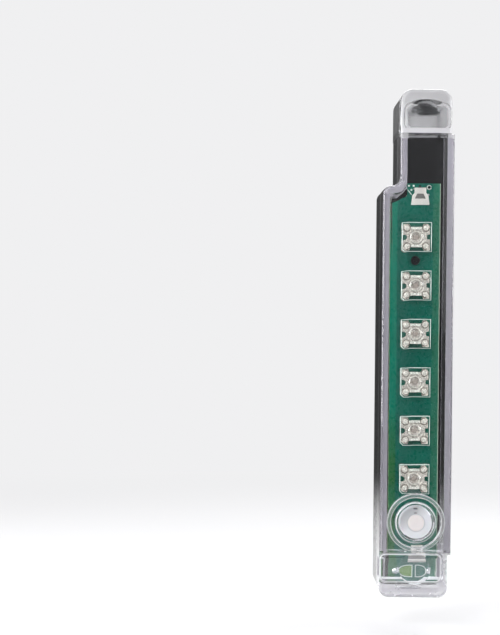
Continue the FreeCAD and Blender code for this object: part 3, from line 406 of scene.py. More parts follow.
@dataclass(frozen=True)
class ClearPlastic:
    """Clear moulded plastic with faint waves.

    It is satin where the piece's frost attribute says so, and on its front over the walls of the two lugs and over
    the button's two rings, where the light that the walls carry comes out.

    A window is x, z, half its width, half its height, its corner's radius, its lug's foot and how satin it and its
    frame are. An eye is x, z and its half sizes. Any other row is two ends and how satin it is between them, and
    sides starts with a middle and a half width.
    """
    name: str = "clear plastic"
    tint: Colour = (0.985, 0.99, 1.0)
    frosted: Colour = (0.93, 0.92, 0.96)
    bend: float = 1.49
    wave: float = 0.02
    front_y: float = -22.4
    windows: tuple[Row, ...] = (
        (2.0, 56.1, 5.0, 2.7, 1.2, 52.1, 0.4, 0.65), (-1.2, -55.6, 7.2, 3.1, 0.9, -51.8, 0.06, 0.55))
    dip: Row = (0.65, 0.85, -0.4)
    line: Row = (0.05, 0.35, 0.8)
    eyes: tuple[Row, ...] = ((1.75, 59.6, 3.7, 0.85), (1.75, 57.75, 4.1, 1.35), (-1.4, -60.3, 2.9, 0.45))
    crossbar: Row = (52.1, 53.4, 0.9)
    sides: Row = (2.15, 4.85, 50.7, 52.3, 0.5)
    rings: tuple[Row, ...] = ((6.2, 7.2, 0.34), (6.2, 6.38, 0.62), (6.95, 7.15, 0.62), (4.75, 5.2, 0.5))

    def satin(self, graph: Graph) -> Socket:
        """The satin share on the front: the largest of what the windows' frames, the crossbar and the rings ask for.

        A window is a rounded rectangle, and the distance from it is |max(|p - middle| - half + corner, 0)| - corner.
        The window is a little satin, and its frame more so out to the lug's foot. Along the window's edge runs a
        line that is more satin, and outside that one a line that is less so. Both windows are clear in the eyes,
        which are ellipses. The walls' ends under the crossbar are satin too.
        """
        share: object = 0.0
        for x, z, half_x, half_z, corner, foot, inner, strength in self.windows:
            gap = [graph.most(graph.math("SUBTRACT", graph.away(place, middle), half - corner), 0.0)
                   for place, middle, half in ((graph.x, x, half_x), (graph.z, z, half_z))]
            square = graph.math("MULTIPLY_ADD", gap[0], gap[0], graph.times(gap[1], gap[1]))
            distance = graph.math("SUBTRACT", graph.math("SQRT", square), corner)
            flat = graph.ramp(distance, 0.0, 0.25, inner, strength)
            flat = graph.most(graph.math("ADD", flat, graph.band(distance, *self.dip, 0.12)), 0.0)
            in_lug = graph.past(graph.z, foot, math.copysign(0.1, foot))
            satin = graph.most(flat, graph.band(distance, *self.line, 0.12))
            share = graph.most(graph.times(satin, in_lug), share)
        for eye in self.eyes:
            share = graph.times(share, graph.ramp(graph.oval(*eye), 0.6, 1.2))
        share = graph.most(graph.band(graph.z, *self.crossbar, 0.15), share)
        middle, half, *ends = self.sides
        beside = graph.past(graph.away(graph.x, middle), half, 0.1)
        share = graph.most(graph.times(beside, graph.band(graph.z, *ends, 0.1)), share)
        radius = graph.math("SQRT", graph.oval(0.0, BUTTON_Z))
        for ring in self.rings:
            share = graph.most(graph.band(radius, *ring, 0.08), share)
        return graph.times(share, graph.ramp(graph.y, self.front_y + 0.3, self.front_y))

    def make(self) -> Graph:
        """Builds the material."""
        graph = Graph(self.name)
        frost = graph.most(graph.marked("frost"), self.satin(graph))
        graph.set(Base_Color=graph.mix(frost, self.tint, self.frosted), IOR=self.bend)
        graph.set(Transmission_Weight=graph.ramp(frost, 0.0, 1.0, 1.0, 0.35))
        clear = graph.ramp(graph.noise(0.15), 0.35, 0.75, 0.01, 0.04)
        graph.set(Roughness=graph.math("MULTIPLY_ADD", frost, 0.45, clear))
        graph.bump(graph.noise(0.35, 2.0), self.wave)
        graph.let_light_through(self.tint)
        return graph


@dataclass(frozen=True)
class Resin:
    """Clear lamp resin, frosted where the piece's frost attribute says so."""
    name: str = "lamp resin"
    tint: Colour = (0.96, 0.99, 0.97)
    frosted: Colour = (0.86, 0.97, 0.9)

    def make(self) -> Graph:
        """Builds the material."""
        graph = Graph(self.name)
        frost = graph.marked("frost")
        graph.set(Base_Color=graph.mix(frost, self.tint, self.frosted), IOR=1.54)
        graph.set(Transmission_Weight=graph.ramp(frost, 0.0, 1.0, 1.0, 0.25))
        clear = graph.ramp(graph.noise(0.6), 0.3, 0.8, 0.03, 0.05)
        graph.set(Roughness=graph.math("MULTIPLY_ADD", frost, 0.25, clear))
        graph.bump(graph.noise(0.9, 2.0), 0.006)
        graph.let_light_through(self.tint)
        return graph


@dataclass(frozen=True)
class Plastic:
    """Moulded opaque plastic: one colour, lightly mottled, with a soft or a shiny skin."""
    name: str
    colour: Colour
    shine: Pair = (0.25, 0.4)
    grain: float = 6.0
    relief: float = 0.004
    bleed: float = 0.0

    def make(self) -> Graph:
        """Builds the material, with painted shade where the piece's painted-shade attribute says so."""
        graph = Graph(self.name)
        colour = graph.mix(graph.noise(0.4), darker(self.colour, 0.86), self.colour)
        # Painted shade: the attribute's share mixes in a much darker colour.
        graph.set(Base_Color=graph.mix(graph.marked("groove_and_painted_shade"), colour, darker(self.colour, 0.12)))
        graph.set(Roughness=graph.mottle(0.7, *self.shine))
        if self.bleed:
            graph.set(Subsurface_Weight=self.bleed, Subsurface_Scale=0.6 * MM)
        graph.bump(graph.noise(self.grain, 4.0), self.relief)
        return graph


@dataclass(frozen=True)
class Metal:
    """Bare or plated metal with fine scratches along one axis.

    Its colour is darkened by painted shade where the piece's painted-shade attribute says so, and is darker between
    the heights in each of the bands.
    """
    name: str
    colour: Colour
    shine: Pair = (0.25, 0.45)
    grain: float = 4.0
    stretch: Colour = (1.0, 1.0, 1.0)
    relief: float = 0.004
    stain: float = 0.8
    bands: tuple[Pair, ...] = ()

    def make(self) -> Graph:
        """Builds the material."""
        graph = Graph(self.name)
        colour = graph.mix(graph.noise(0.9, 4.0), darker(self.colour, self.stain), self.colour)
        groove_and_painted_shade = graph.marked("groove_and_painted_shade")
        for low, high in self.bands:
            groove_and_painted_shade = graph.most(groove_and_painted_shade, graph.band(graph.z, low, high, 0.85, 0.05))
        # Painted shade from the attribute, and a darker colour between the bands' heights.
        graph.set(Base_Color=graph.mix(groove_and_painted_shade, colour, darker(self.colour, 0.2)), Metallic=1.0)
        scratches = graph.noise(self.grain, 4.0, self.stretch)
        graph.set(Roughness=graph.ramp(scratches, 0.3, 0.7, *self.shine))
        graph.bump(scratches, self.relief)
        return graph


@dataclass(frozen=True)
class LeadSilver:
    """Stamped silver plate, with painted shade where the piece's painted-shade attribute is one and a painted
    highlight where its painted-highlight attribute is.
    """
    name: str = "lamp silver"
    colour: Colour = (0.92, 0.84, 0.78)
    # Colours of the painted shade and of the painted highlight.
    groove_and_painted_shade: Colour = (0.12, 0.1, 0.08)
    lip_and_painted_highlight: Colour = (0.98, 0.95, 0.9)
    bare: float = 0.45

    def make(self) -> Graph:
        """Builds the material."""
        graph = Graph(self.name)
        colour = graph.mix(graph.noise(1.2, 4.0), darker(self.colour, 0.8), self.colour)
        # Painted shade and painted highlight mixed over the plate's colour.
        for name, tone in (("groove_and_painted_shade", self.groove_and_painted_shade), ("lip_and_painted_highlight", self.lip_and_painted_highlight)):
            colour = graph.mix(graph.marked(name), colour, tone)
        graph.set(Base_Color=colour, Metallic=self.bare)
        graph.set(Roughness=graph.mottle(3.0, 0.16, 0.34, 4.0))
        graph.bump(graph.noise(2.5, 3.0), 0.012)
        return graph


@dataclass(frozen=True)
class BoardMask:
    """Green solder mask over copper areas, with a bare edge of glass cloth.

    The front shows a brighter strip down the left side and a paler one down the right side, where the copper
    areas stop, and a darker middle where the mask lies on the board itself.
    """
    name: str = "board mask"
    middle: Colour = (0.001, 0.095, 0.068)
    left: Colour = (0.003, 0.165, 0.105)
    right: Colour = (0.02, 0.125, 0.075)
    foot: Colour = (0.02, 0.11, 0.03)
    edge: Colour = (0.12, 0.18, 0.08)
    bare: Colour = (0.3, 0.38, 0.3)
    window: Colour = (0.13, 0.24, 0.06)
    left_x: float = -4.55
    right_x: float = 4.35
    bare_x: float = 6.0
    mark: Row = (-0.12, -57.4, 3.25, 1.4)
    foot_z: float = -22.0
    front_y: float = -15.1
    back_y: float = -13.5

    def make(self) -> Graph:
        """Builds the material."""
        graph = Graph(self.name)
        colour = graph.mix(graph.past(graph.z, self.foot_z, 8.0), self.foot, self.left)
        colour = graph.mix(graph.past(graph.x, self.left_x, 0.2), colour, self.middle)
        colour = graph.mix(graph.past(graph.x, self.right_x, 0.15), colour, self.right)
        colour = graph.mix(graph.mottle(0.12, 0.0, 0.35, 2.0), colour, self.left)
        colour = graph.mix(graph.past(graph.x, self.bare_x, 0.05), colour, self.bare)
        inside = graph.times(graph.ramp(graph.oval(*self.mark), 1.05, 0.9), graph.past(graph.x, self.mark[0], -0.05))
        colour = graph.mix(inside, colour, self.window)
        on_face = graph.between(graph.y, self.front_y + 0.06, self.back_y - 0.06, 0.03)
        graph.set(Base_Color=graph.mix(on_face, colour, self.edge))
        graph.set(Roughness=graph.mottle(1.4, 0.22, 0.42), Specular_IOR_Level=0.3)
        graph.bump(graph.noise(5.0, 2.0, (1.0, 1.0, 0.25)), 0.006)
        return graph


@dataclass(frozen=True)
class Sleeve:
    """A cell's printed sleeve: plain dark body with a bright band round its positive end."""
    name: str
    band_low: float
    body: Colour = (0.03, 0.045, 0.06)
    band: Colour = (0.55, 0.33, 0.12)

    def make(self) -> Graph:
        """Builds the material."""
        graph = Graph(self.name)
        colour = graph.mix(graph.past(graph.z, self.band_low, 0.03), self.body, self.band)
        graph.set(Base_Color=colour, Coat_Weight=0.4, Roughness=graph.mottle(0.8, 0.25, 0.4))
        graph.bump(graph.noise(2.0), 0.003)
        return graph


BLACK = Plastic("black plastic", (0.007, 0.007, 0.008), (0.1, 0.24), 3.0, 0.003)
DOOR_BLACK = Plastic("door plastic", (0.016, 0.016, 0.018), (0.34, 0.48), 9.0, 0.006)
WHITE = Plastic("white plastic", (0.8, 0.82, 0.86), (0.28, 0.4), 5.0, 0.003, 0.15)
BEIGE = Plastic("beige plastic", (0.86, 0.81, 0.81), (0.4, 0.55), 8.0, 0.004, 0.1)
RUBBER = Plastic("seal rubber", (0.38, 0.36, 0.405), (0.5, 0.7), 8.0, 0.008)
CHIP = Plastic("chip black", (0.02, 0.02, 0.022), (0.45, 0.6), 14.0, 0.004)
TAN = Plastic("capacitor tan", (0.33, 0.2, 0.1), (0.35, 0.5), 8.0, 0.003)
SWITCH = Plastic("switch black", (0.03, 0.03, 0.033), (0.4, 0.55), 8.0, 0.003)
INK = Plastic("white board print", (0.72, 0.76, 0.72), (0.5, 0.65), 10.0, 0.003)
LED_DIE = Plastic("lamp die", (0.5, 0.42, 0.38), (0.3, 0.45), 12.0, 0.003)
TIN = Metal("tin plate", (0.98, 0.95, 0.89), (0.42, 0.6), 5.0, (1.0, 1.0, 0.15), 0.004, 0.86,
            ((-54.35, -53.55), (-54.98, -54.78)))
SOLDER = Metal("solder", (0.8, 0.82, 0.84), (0.18, 0.35), 3.0, (1.0, 1.0, 1.0), 0.02, 0.75)
STEEL = Metal("steel", (0.56, 0.56, 0.57), (0.2, 0.35), 8.0, (1.0, 0.2, 0.2), 0.003, 0.8)
CAN_STEEL = Metal("cell steel", (0.66, 0.66, 0.68), (0.2, 0.32), 4.0, (1.0, 1.0, 0.1), 0.003, 0.85)
BRASS = Metal("brass", (0.72, 0.5, 0.2), (0.24, 0.4), 8.0, (1.0, 1.0, 0.3), 0.006, 0.8)


# Studio

@dataclass
class Studio:
    """Pale floor, soft lamps and the camera at the photograph's viewing angle.

    A lamp is its name, its place and its side in millimetres, and its power in watts.
    """
    floor_level: float = -72.5
    floor_size: float = 12000.0
    camera_place: Row = (-41.5, -431.0, 5.97)
    camera_lens: float = 93.5
    camera_roll: float = -0.6
    backdrop: float = 0.88
    daylight: float = 0.45
    horizon: float = 0.06
    through: float = 0.22
    overhead: float = 0.4
    fade: Pair = (120.0, 420.0)
    sky: Row = (0.99, 0.99, 1.0, 1.0)
    lamps: tuple[tuple[str, Row, float, float], ...] = (
        ("key lamp", (-260, -330, 300), 260, 1.0), ("fill lamp", (330, -260, 160), 260, 0.5),
        ("left strip", (-330, 20, 60), 200, 0.8), ("right strip", (330, 60, 80), 200, 0.8),
        ("back lamp", (60, 380, 260), 240, 0.8))

    def build(self) -> None:
        """Makes the floor, the world, the lamps and the camera."""
        self.lay_floor()
        self.light_world()
        for lamp in self.lamps:
            self.hang_lamp(*lamp)
        self.place_camera()

    def lay_floor(self) -> None:
        """A round pale floor: radius times the cosine and sine of each angle, in rings."""
        angle = even_turn(64)
        radius = self.floor_size * np.linspace(0, 1, 24)[:, None] ** 3
        points = place_points(radius * np.cos(angle), -radius * np.sin(angle), self.floor_level)
        floor = put_mesh("floor", points, smooth=False)
        if floor.data.polygons[0].normal.z < 0:
            floor.data.flip_normals()
        graph = Graph("floor paint")
        graph.set(Base_Color=graph.mix(graph.noise(0.004), (0.78, 0.78, 0.79), (0.8, 0.8, 0.81)), Roughness=0.7)
        reach = graph.add("ShaderNodeVectorMath", {0: graph.place}, operation="LENGTH").outputs["Value"]
        path = graph.add("ShaderNodeLightPath").outputs
        seen = graph.math("MULTIPLY_ADD", path["Is Camera Ray"], self.backdrop - self.through, self.through)
        strength = graph.math("MULTIPLY_ADD", path["Is Glossy Ray"], self.horizon - self.through, seen)
        far = graph.add("ShaderNodeEmission", {"Color": self.sky, "Strength": strength})
        graph.blend_in(graph.ramp(reach, *self.fade), far)
        graph.skin(floor)

    def light_world(self) -> None:
        """The world: pale where it is seen, plain soft light elsewhere, darker near the horizon in reflections."""
        world = bpy.data.worlds.new("studio")
        world.use_nodes = True
        bpy.context.scene.world = world
        tree = Tree(world.node_tree)
        place = tree.add("ShaderNodeTexCoord").outputs["Generated"]
        height = tree.add("ShaderNodeSeparateXYZ", {0: place}).outputs[2]
        path = tree.add("ShaderNodeLightPath").outputs
        glossy = tree.ramp(height, 0.0, 0.7, self.horizon, 1.0)
        passing = tree.ramp(height, 0.0, 0.7, self.through, self.overhead)
        strength: object = self.daylight
        for ray, value in (("Glossy", glossy), ("Transmission", passing), ("Camera", self.backdrop)):
            inputs = {0: path[f"Is {ray} Ray"], 2: strength, 3: value}
            strength = tree.add("ShaderNodeMix", inputs, data_type="FLOAT").outputs[0]
        light = tree.add("ShaderNodeBackground", {"Strength": strength, "Color": self.sky})
        tree.add("ShaderNodeOutputWorld", {0: light.outputs[0]})

    def hang_lamp(self, name: str, place: Row, side: float, power: float) -> None:
        """Hangs a square soft lamp that faces the middle of the bar."""
        lamp = bpy.data.lights.new(name, "AREA")
        lamp.shape = "SQUARE"
        lamp.size = side * MM
        lamp.energy = power
        obj = put_object(name, lamp)
        obj.location = [part * MM for part in place]
        way = -np.array(place, dtype=float)
        flat = math.hypot(way[0], way[1])
        tilt, turn = math.atan2(way[2], flat), math.atan2(way[1], way[0])
        obj.rotation_euler = (math.pi / 2 + tilt, 0, turn - math.pi / 2)
        obj.visible_transmission = place[1] < 200

    def place_camera(self) -> None:
        """Sets the camera upright, level and looking along +Y, with the photograph's slight roll."""
        camera = bpy.data.cameras.new("camera")
        camera.sensor_width = 36.0
        camera.lens = self.camera_lens
        obj = put_object("camera", camera)
        obj.location = [part * MM for part in self.camera_place]
        obj.rotation_euler = (math.pi / 2, math.radians(self.camera_roll), 0)
        bpy.context.scene.camera = obj
        bpy.context.scene.view_settings.view_transform = "Standard"


# Sub-assemblies

@dataclass
class ClearCover:
    """The clear cover: the CAD solid with its sharp edges broken and its side-core faces satin."""
    edge: float = 0.18
    shoulder: Row = (-2.85, 37.25, 2.8)
    floor: float = 17.0
    roof: float = 21.3
    lug_z: float = 53.4
    collar: float = 21.2
    collar_radius: float = 7.3
    upper_tunnel: float = 0.3
    lower_tunnel: float = 0.6
    collar_walls: float = 0.55

    def frost(self, mesh: bpy.types.Mesh) -> None:
        """Marks the satin faces: the upright faces of the tunnels and of the rings round the button."""
        x, y, z = vectors(mesh.polygons, "center").T / MM
        upright = np.abs(vectors(mesh.polygons, "normal")[:, 1]) < 0.4
        tunnel = upright & (-y > self.floor) & (-y < self.roof) & (np.abs(z) > self.lug_z)
        rings = upright & (-y > self.collar) & (np.hypot(x, z - BUTTON_Z) < self.collar_radius)
        share = np.where(z > 0, self.upper_tunnel, self.lower_tunnel)
        mark(mesh, "frost", "FACE", np.where(tunnel, share, np.where(rings, self.collar_walls, 0.0)))

    def build(self) -> None:
        """Makes the cover and dresses it."""
        cover = cad_copy("clear_cover", "front_cover")
        self.frost(cover.data)
        round_upright(cover, *self.shoulder)
        soften(cover, self.edge)
        ClearPlastic().make().dress(cover, BAR, "clear_plastic", "front_cover")


@dataclass
class Tray:
    """The black housing, the gasket and what is fixed in them."""
    edge: float = 0.2
    squeeze: float = 0.04
    shoulder: Row = (-2.75, 37.15, 2.8)

    def build(self) -> None:
        """Makes the housing and the gasket, and dresses the hinge pin and the insert."""
        tray = cad_copy("black_tray", "rear_housing", self.edge)
        BLACK.make().dress(tray, BAR, "black_plastic", "rear_housing")
        gasket = cad_copy("gasket", "cover_seal")
        points = gasket.data.vertices
        points.foreach_set("co", (vectors(points, "co") + (0.0, self.squeeze * MM, 0.0)).ravel())
        gasket.data.update()
        round_upright(gasket, *self.shoulder)
        RUBBER.make().dress(gasket, BAR, "seal_rubber", "cover_seal")
        STEEL.make().skin_nodes("hinge_pin")
        BRASS.make().skin_nodes("screw_insert")


@dataclass
class BatteryDoor:
    """The door with its screw and clip."""
    edge: float = 0.15
    screw_edge: float = 0.08

    def build(self) -> None:
        """Makes the door and the screw with soft edges and dresses the clip."""
        door = cad_copy("hatch", "battery_door", self.edge)
        DOOR_BLACK.make().dress(door, DOOR, "black_plastic", "battery_door")
        screw = cad_copy("cross_screw", "door_screw", self.screw_edge)
        steel = STEEL.make()
        steel.dress(screw, SCREW, "screw_steel", "door_screw")
        steel.skin_nodes("door_screw_clip")


@dataclass
class Cells:
    """Two cells, their contacts and the spring."""
    band: float = 9.0
    edge: float = 0.08
    hollow: Pair = (0.03, 0.23)

    def build(self) -> None:
        """Dresses the cells and the spring, and breaks the contacts' edges."""
        can, tin = CAN_STEEL.make(), TIN.make()
        for number in (1, 2):
            sleeve = f"cell_{number}_sleeve"
            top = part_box(sleeve)[1].z / MM
            Sleeve(f"cell sleeve {number}", top - self.band).make().skin_nodes(sleeve)
            can.skin_nodes(f"cell_{number}_can", f"cell_{number}_terminal")
        STEEL.make().skin_nodes("battery_spring")
        for node in ("upper_contact", "lower_contact"):
            strip = cad_copy(node + "_strip", node, self.edge)
            self.shade_hollow(strip.data, -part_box(node)[0].y / MM)
            tin.dress(strip, BAR, "plated_metal", node)

    def shade_hollow(self, mesh: bpy.types.Mesh, front: float) -> None:
        """Marks painted shade on the faces of the hollow stamped in a contact's tab, which lie just behind its front.
        """
        depth = -vectors(mesh.polygons, "center")[:, 1] / MM
        hollow = (depth < front - self.hollow[0]) & (depth > front - self.hollow[1])
        facing = vectors(mesh.polygons, "normal")[:, 1] < -0.9
        # Painted shade in the stamped hollow.
        mark(mesh, "groove_and_painted_shade", "FACE", np.where(hollow & facing, 0.92, 0.0))


@dataclass
class Board:
    """The green board with its print, its solder and the parts on its back."""
    front: float = 15.1
    print_rise: float = 0.03
    mark_level: float = -57.4
    mark_half: float = 3.43
    mark_middle: float = 0.35
    mark_gap: float = 0.42
    mark_height: float = 1.45
    line: float = 0.2
    blob_x: float = 4.4
    blob_radius: float = 0.85
    blob_height: float = 0.5
    dots: tuple[Pair, ...] = ((-1.7, 39.5), (-0.55, 39.5), (-1.1, 38.45))
    holes: tuple[Pair, ...] = ((1.0, 39.4), (3.3, 39.1))
    pad: Pair = (3.15, 37.2)
    ring_radius: float = 0.5
    stroke: tuple[Pair, Pair] = ((-2.0, 38.45), (-1.05, 37.25))

    def build(self) -> None:
        """Dresses the board and adds its print, dots, holes and solder blobs."""
        BoardMask().make().skin_nodes("circuit_board")
        solder, ink, dark = SOLDER.make(), INK.make(), BLACK.make()
        solder.skin_nodes("board_solder")
        CHIP.make().skin_nodes("controller_chip", "resistor_1", "resistor_2")
        TIN.make().skin_nodes("chip_pins")
        TAN.make().skin_nodes("capacitor")
        for number, place in enumerate(self.dots, start=1):
            self.disc(f"board_dot_{number}", place, 0.25, 0.05, ink, "board_green")
        for number, place in enumerate(self.holes, start=1):
            self.disc(f"board_via_{number}", place, 0.3, 0.03, dark, "board_green")
        self.disc("board_test_pad", self.pad, 0.3, 0.08, solder, "solder")
        turn = np.linspace(0.2, 2 * np.pi - 0.2, 24)
        x, z = self.holes[1]
        self.put_line("board_via_ring", x + self.ring_radius * np.cos(turn), z + self.ring_radius * np.sin(turn), ink)
        x, z = (np.linspace(start, end, 6) for start, end in zip(*self.stroke))
        self.put_line("board_stroke", x, z, ink)
        for side in Facing:
            self.blob(f"solder_blob_{side.name.lower()}", side.value * self.blob_x, solder)
        self.print_mark(ink)

    def disc(self, name: str, place: Pair, radius: float, height: float, finish: Graph, slot: str) -> None:
        """Lays a thin round dot on the board's front, with a rounded rim."""
        profile = np.array([(0, -0.02), (1, -0.02), (1, 0.5), (0.9, 0.85), (0.6, 1), (0, 1)])
        finish.dress(lathe(name, profile * (radius, height) + (0, self.front), place, 32), BAR, slot)

    def blob(self, name: str, x: float, solder: Graph) -> None:
        """Heaps a solder blob: a bell-shaped profile with a few lumps round it."""
        share = np.linspace(0, 1, 12)
        depth = self.front + self.blob_height * np.sin(share * np.pi / 2) ** 1.5
        profile = np.concatenate([[(0, self.front - 0.02)], np.stack([self.blob_radius * share[::-1], depth], -1)])

        def lumps(px: Array, pz: Array) -> Array:
            """Pushes the surface out and in where two waves across it cross."""
            return 0.07 * np.sin(6 * px + 1) * np.cos(5 * pz + x) * (px ** 2 + pz ** 2 < 0.6)

        solder.dress(lathe(name, profile, (x, self.mark_level), 40, lumps), BAR, "solder")

    def print_mark(self, ink: Graph) -> None:
        """Prints the outline of a small part: two round ends and two bars between them."""
        turn = np.linspace(np.pi / 2, 3 * np.pi / 2, 24)
        for side in Facing:
            flat = self.mark_middle + side.value * self.mark_gap
            x = flat + (side.value * self.mark_half - flat) * np.abs(np.cos(turn)) ** 0.7
            z = self.mark_level + self.mark_height * np.sign(np.sin(turn)) * np.abs(np.sin(turn)) ** 0.8
            name = f"board_print_{side.name.lower()}"
            self.put_line(name, x, z, ink)
            bar = self.mark_level + np.linspace(-self.mark_height, self.mark_height, 8)
            self.put_line(name + "_bar", flat, bar, ink)

    def put_line(self, name: str, x: Array | float, z: Array, ink: Graph) -> None:
        """Draws one printed line through the points at x and z on the board's front."""
        line = tube(name, place_points(x, self.front + self.print_rise, z), self.line / 2)
        ink.dress(line, BAR, "board_green")


@dataclass
class SquareLamp:
    """One square lamp: silver frame with its die, in a clear block with a dome.

    The four posts are x, z, radius and height, and the moat round each is its depth, its gap and its width. The cup
    is the radius of its pit and of its rim, then depth and height. An arm is height, width and where it starts. The
    lips are half their width, their two ends and their height. A ring of painted shade is a radius and a share, and
    the rings of painted highlight are radii.
    """
    number: int
    level: float = 0.0
    half: float = 3.7
    back: float = 15.6
    face: float = 18.5
    corner: float = 0.7
    foot: float = 2.0
    top: float = 19.9
    rim: float = 0.2
    edge: float = 3.3
    plate: float = 17.0
    plate_back: float = 16.5
    post: Row = (2.3, 2.25, 0.8, 0.35)
    moat: Row = (0.15, 0.1, 0.09)
    cup: Row = (0.42, 0.72, 0.14, 0.22)
    rim_width: float = 0.12
    arm: Row = (0.08, 0.35, 1.0)
    lip_and_painted_highlight: Row = (1.5, 1.9, 2.6, 0.3)
    leg_half: float = 2.54
    leg_radius: float = 0.33
    leg_end: float = 12.95
    leg_top: float = 16.6
    # Rings of painted shade and of painted highlight on the frame.
    painted_shade_rings: tuple[Pair, ...] = ((0.3, 0.3), (0.6, 0.5), (0.92, 0.55), (1.24, 0.5))
    painted_highlight_rings: Pair = (0.76, 1.08)
    ring_width: float = 0.06

    def build(self, resin: Graph, silver: Graph, die: Graph) -> None:
        """Makes the block, the frame and its legs, and dresses the die.

        Args:
            resin: finish of the clear block.
            silver: finish of the lead frame.
            die: finish of the die.
        """
        name = f"lamp_{self.number}"
        low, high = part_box(f"{name}_lens")
        self.level = (low.z / MM + high.z / MM) / 2
        resin.dress(self.make_block(f"{name}_block"), BAR, "lamp_epoxy", f"{name}_lens")
        silver.dress(self.make_plate(f"{name}_plate"), BAR, "lead_silver", f"{name}_frame")
        silver.dress(self.make_legs(f"{name}_legs"), BAR, "lead_silver")
        die.skin_nodes(f"{name}_die")

    def reach(self, angle: Array, corners: Array) -> Array:
        """How far a closed outline lies from its middle in each direction.

        The side from p to q is met at distance (p cross q) / (u cross (q - p)) along the unit vector u, and only
        where that point lies between p and q. The nearest such side counts.

        Args:
            angle: the directions, in radians.
            corners: x and z of the outline's corners, in order round the middle.

        Returns:
            The distance for each direction.
        """
        first, side = corners, np.roll(corners, -1, axis=0) - corners
        ux, uz = np.cos(angle)[:, None], np.sin(angle)[:, None]
        across = ux * side[:, 1] - uz * side[:, 0]
        across = np.where(np.abs(across) < 1e-9, 1e-9, across)
        distance = (first[:, 0] * side[:, 1] - first[:, 1] * side[:, 0]) / across
        along = (first[:, 0] * uz - first[:, 1] * ux) / across
        met = (distance > 0) & (along > -1e-6) & (along < 1 + 1e-6)
        return np.where(met, distance, 1e3).min(axis=1)

    def spokes(self, corners: Array, count: int) -> tuple[Array, Array]:
        """Count even directions with those of an outline's corners, and how far the outline lies in each."""
        turns = np.arctan2(corners[:, 1], corners[:, 0]) % (2 * np.pi)
        angle = np.unique(np.round(np.concatenate([even_turn(count), turns]), 6))
        return angle, self.reach(angle, corners)

    def from_post(self, x: Array, z: Array) -> Array:
        """How far each point lies from the middle of the nearest post."""
        return np.hypot(np.abs(x) - self.post[0], np.abs(z) - self.post[1])

    def relief(self, x: Array, z: Array) -> Array:
        """The frame's height over its flat face, in millimetres.

        Each post is a low dome with a groove round it, the cup is a pit with a raised rim, the two lips slope up to
        the edge of the notches above and below the middle, and low arms lead out from the cup. All are added.
        """
        size, rise = self.post[2:]
        distance = self.from_post(x, z)
        dome = rise * np.sqrt(np.clip(1 - (distance / size) ** 2, 0, 1))
        depth, away, width = self.moat
        groove_and_painted_shade = -depth * bell(distance, size + away, width)
        pit, rim, depth, height = self.cup
        radius = np.hypot(x, z)
        cup = height * bell(radius, rim, self.rim_width) - depth * (radius < pit)
        wide, low, high, lift = self.lip_and_painted_highlight
        across, along = np.abs(x), np.abs(z)
        up = np.clip((high - along) / (high - low), 0, 1)
        slope = np.where(z > 0, up, 1 - up)
        lips = lift * slope * (across < wide) * (along > low) * (along < high + 0.05)
        height, width, start = self.arm
        arms = height * bell(across - along, 0.0, width) * (radius > start) * (distance > size)
        return dome + groove_and_painted_shade + cup + lips + arms

    def make_plate(self, name: str) -> Piece:
        """Works the frame out as rings about the lamp's axis, drawn out to its notched outline.

        A point of ring s at angle a lies at s reach(a) from the axis, with the relief added to its depth.
        """
        edge, cut = self.edge, self.edge - 0.6
        right = [(2.6, 0.0), (2.6, 0.5), (edge, 0.64), (edge, cut), (cut, edge), (1.85, edge), (1.42, 2.55)]
        left = [(-1.42, 2.55), (-1.85, edge), (-edge, edge), (-edge, 0.75), (-2.7, 0.6), (-2.35, 0.3), (-2.35, -0.3),
                (-2.7, -0.6), (-edge, -0.75), (-edge, -cut), (-cut, -edge), (-1.85, -edge), (-1.42, -2.55)]
        corners = np.array(right + left + [(1.42, -2.55), (1.85, -edge), (edge, -edge), (edge, -0.64), (2.6, -0.5)])
        angle, reach = self.spokes(corners, 220)
        rows = 46
        share = np.concatenate([np.linspace(0, 1, rows), [1.0, 0.5, 0.0]])[:, None]
        x, z = share * reach * np.cos(angle), share * reach * np.sin(angle)
        front = np.arange(len(share))[:, None] < rows
        depth = np.where(front, self.plate + self.relief(x, z), self.plate_back)
        plate = put_mesh(name, place_points(x, depth, self.level + z))
        x, y, z = vectors(plate.data.vertices, "co").T / MM
        # Painted shade and painted highlight, kept as point attributes for the silver finish.
        for key, value in zip(("groove_and_painted_shade", "lip_and_painted_highlight"), self.marks(x, z - self.level)):
            mark(plate.data, key, "POINT", value)
        return plate

    def marks(self, x: Array, z: Array) -> tuple[Array, Array]:
        """How much painted shade lies in the grooves and rings, and how much painted highlight on the lips, the tops
        of the posts and two rings, at each point.
        """
        distance, radius = self.from_post(x, z), np.hypot(x, z)
        groove_and_painted_shade = 0.95 * bell(distance, self.post[2], 0.11) * (radius < 3.9)
        for ring, share in self.painted_shade_rings:
            groove_and_painted_shade = np.maximum(groove_and_painted_shade, share * bell(radius, ring, self.ring_width))
        wide, low, high, _ = self.lip_and_painted_highlight
        lip_and_painted_highlight = (np.abs(x) < wide - 0.15) & (np.abs(z) > low + 0.05) & (np.abs(z) < high - 0.1)
        lip_and_painted_highlight = np.maximum(lip_and_painted_highlight, 0.8 * bell(distance, 0.0, 0.35))
        for ring in self.painted_highlight_rings:
            lip_and_painted_highlight = np.maximum(lip_and_painted_highlight, 0.5 * bell(radius, ring, self.ring_width))
        return groove_and_painted_shade, lip_and_painted_highlight

    def make_legs(self, name: str) -> Piece:
        """Four round legs: circles of the leg's radius at each depth of a profile with a rounded tip."""
        angle, tip, top = even_turn(20), self.leg_end, self.leg_top
        profile = np.array([(0.0, tip), (0.6, tip), (0.9, tip + 0.06), (1.0, tip + 0.15), (1.0, top), (0.0, top)])
        side_x, side_z = self.leg_half * np.array([(1, 1), (-1, 1), (-1, -1), (1, -1)]).T[:, :, None, None]
        radius = self.leg_radius * profile[:, :1]
        return put_mesh(name, place_points(side_x + radius * np.cos(angle), profile[:, 1:],
                                           self.level + side_z + radius * np.sin(angle)))

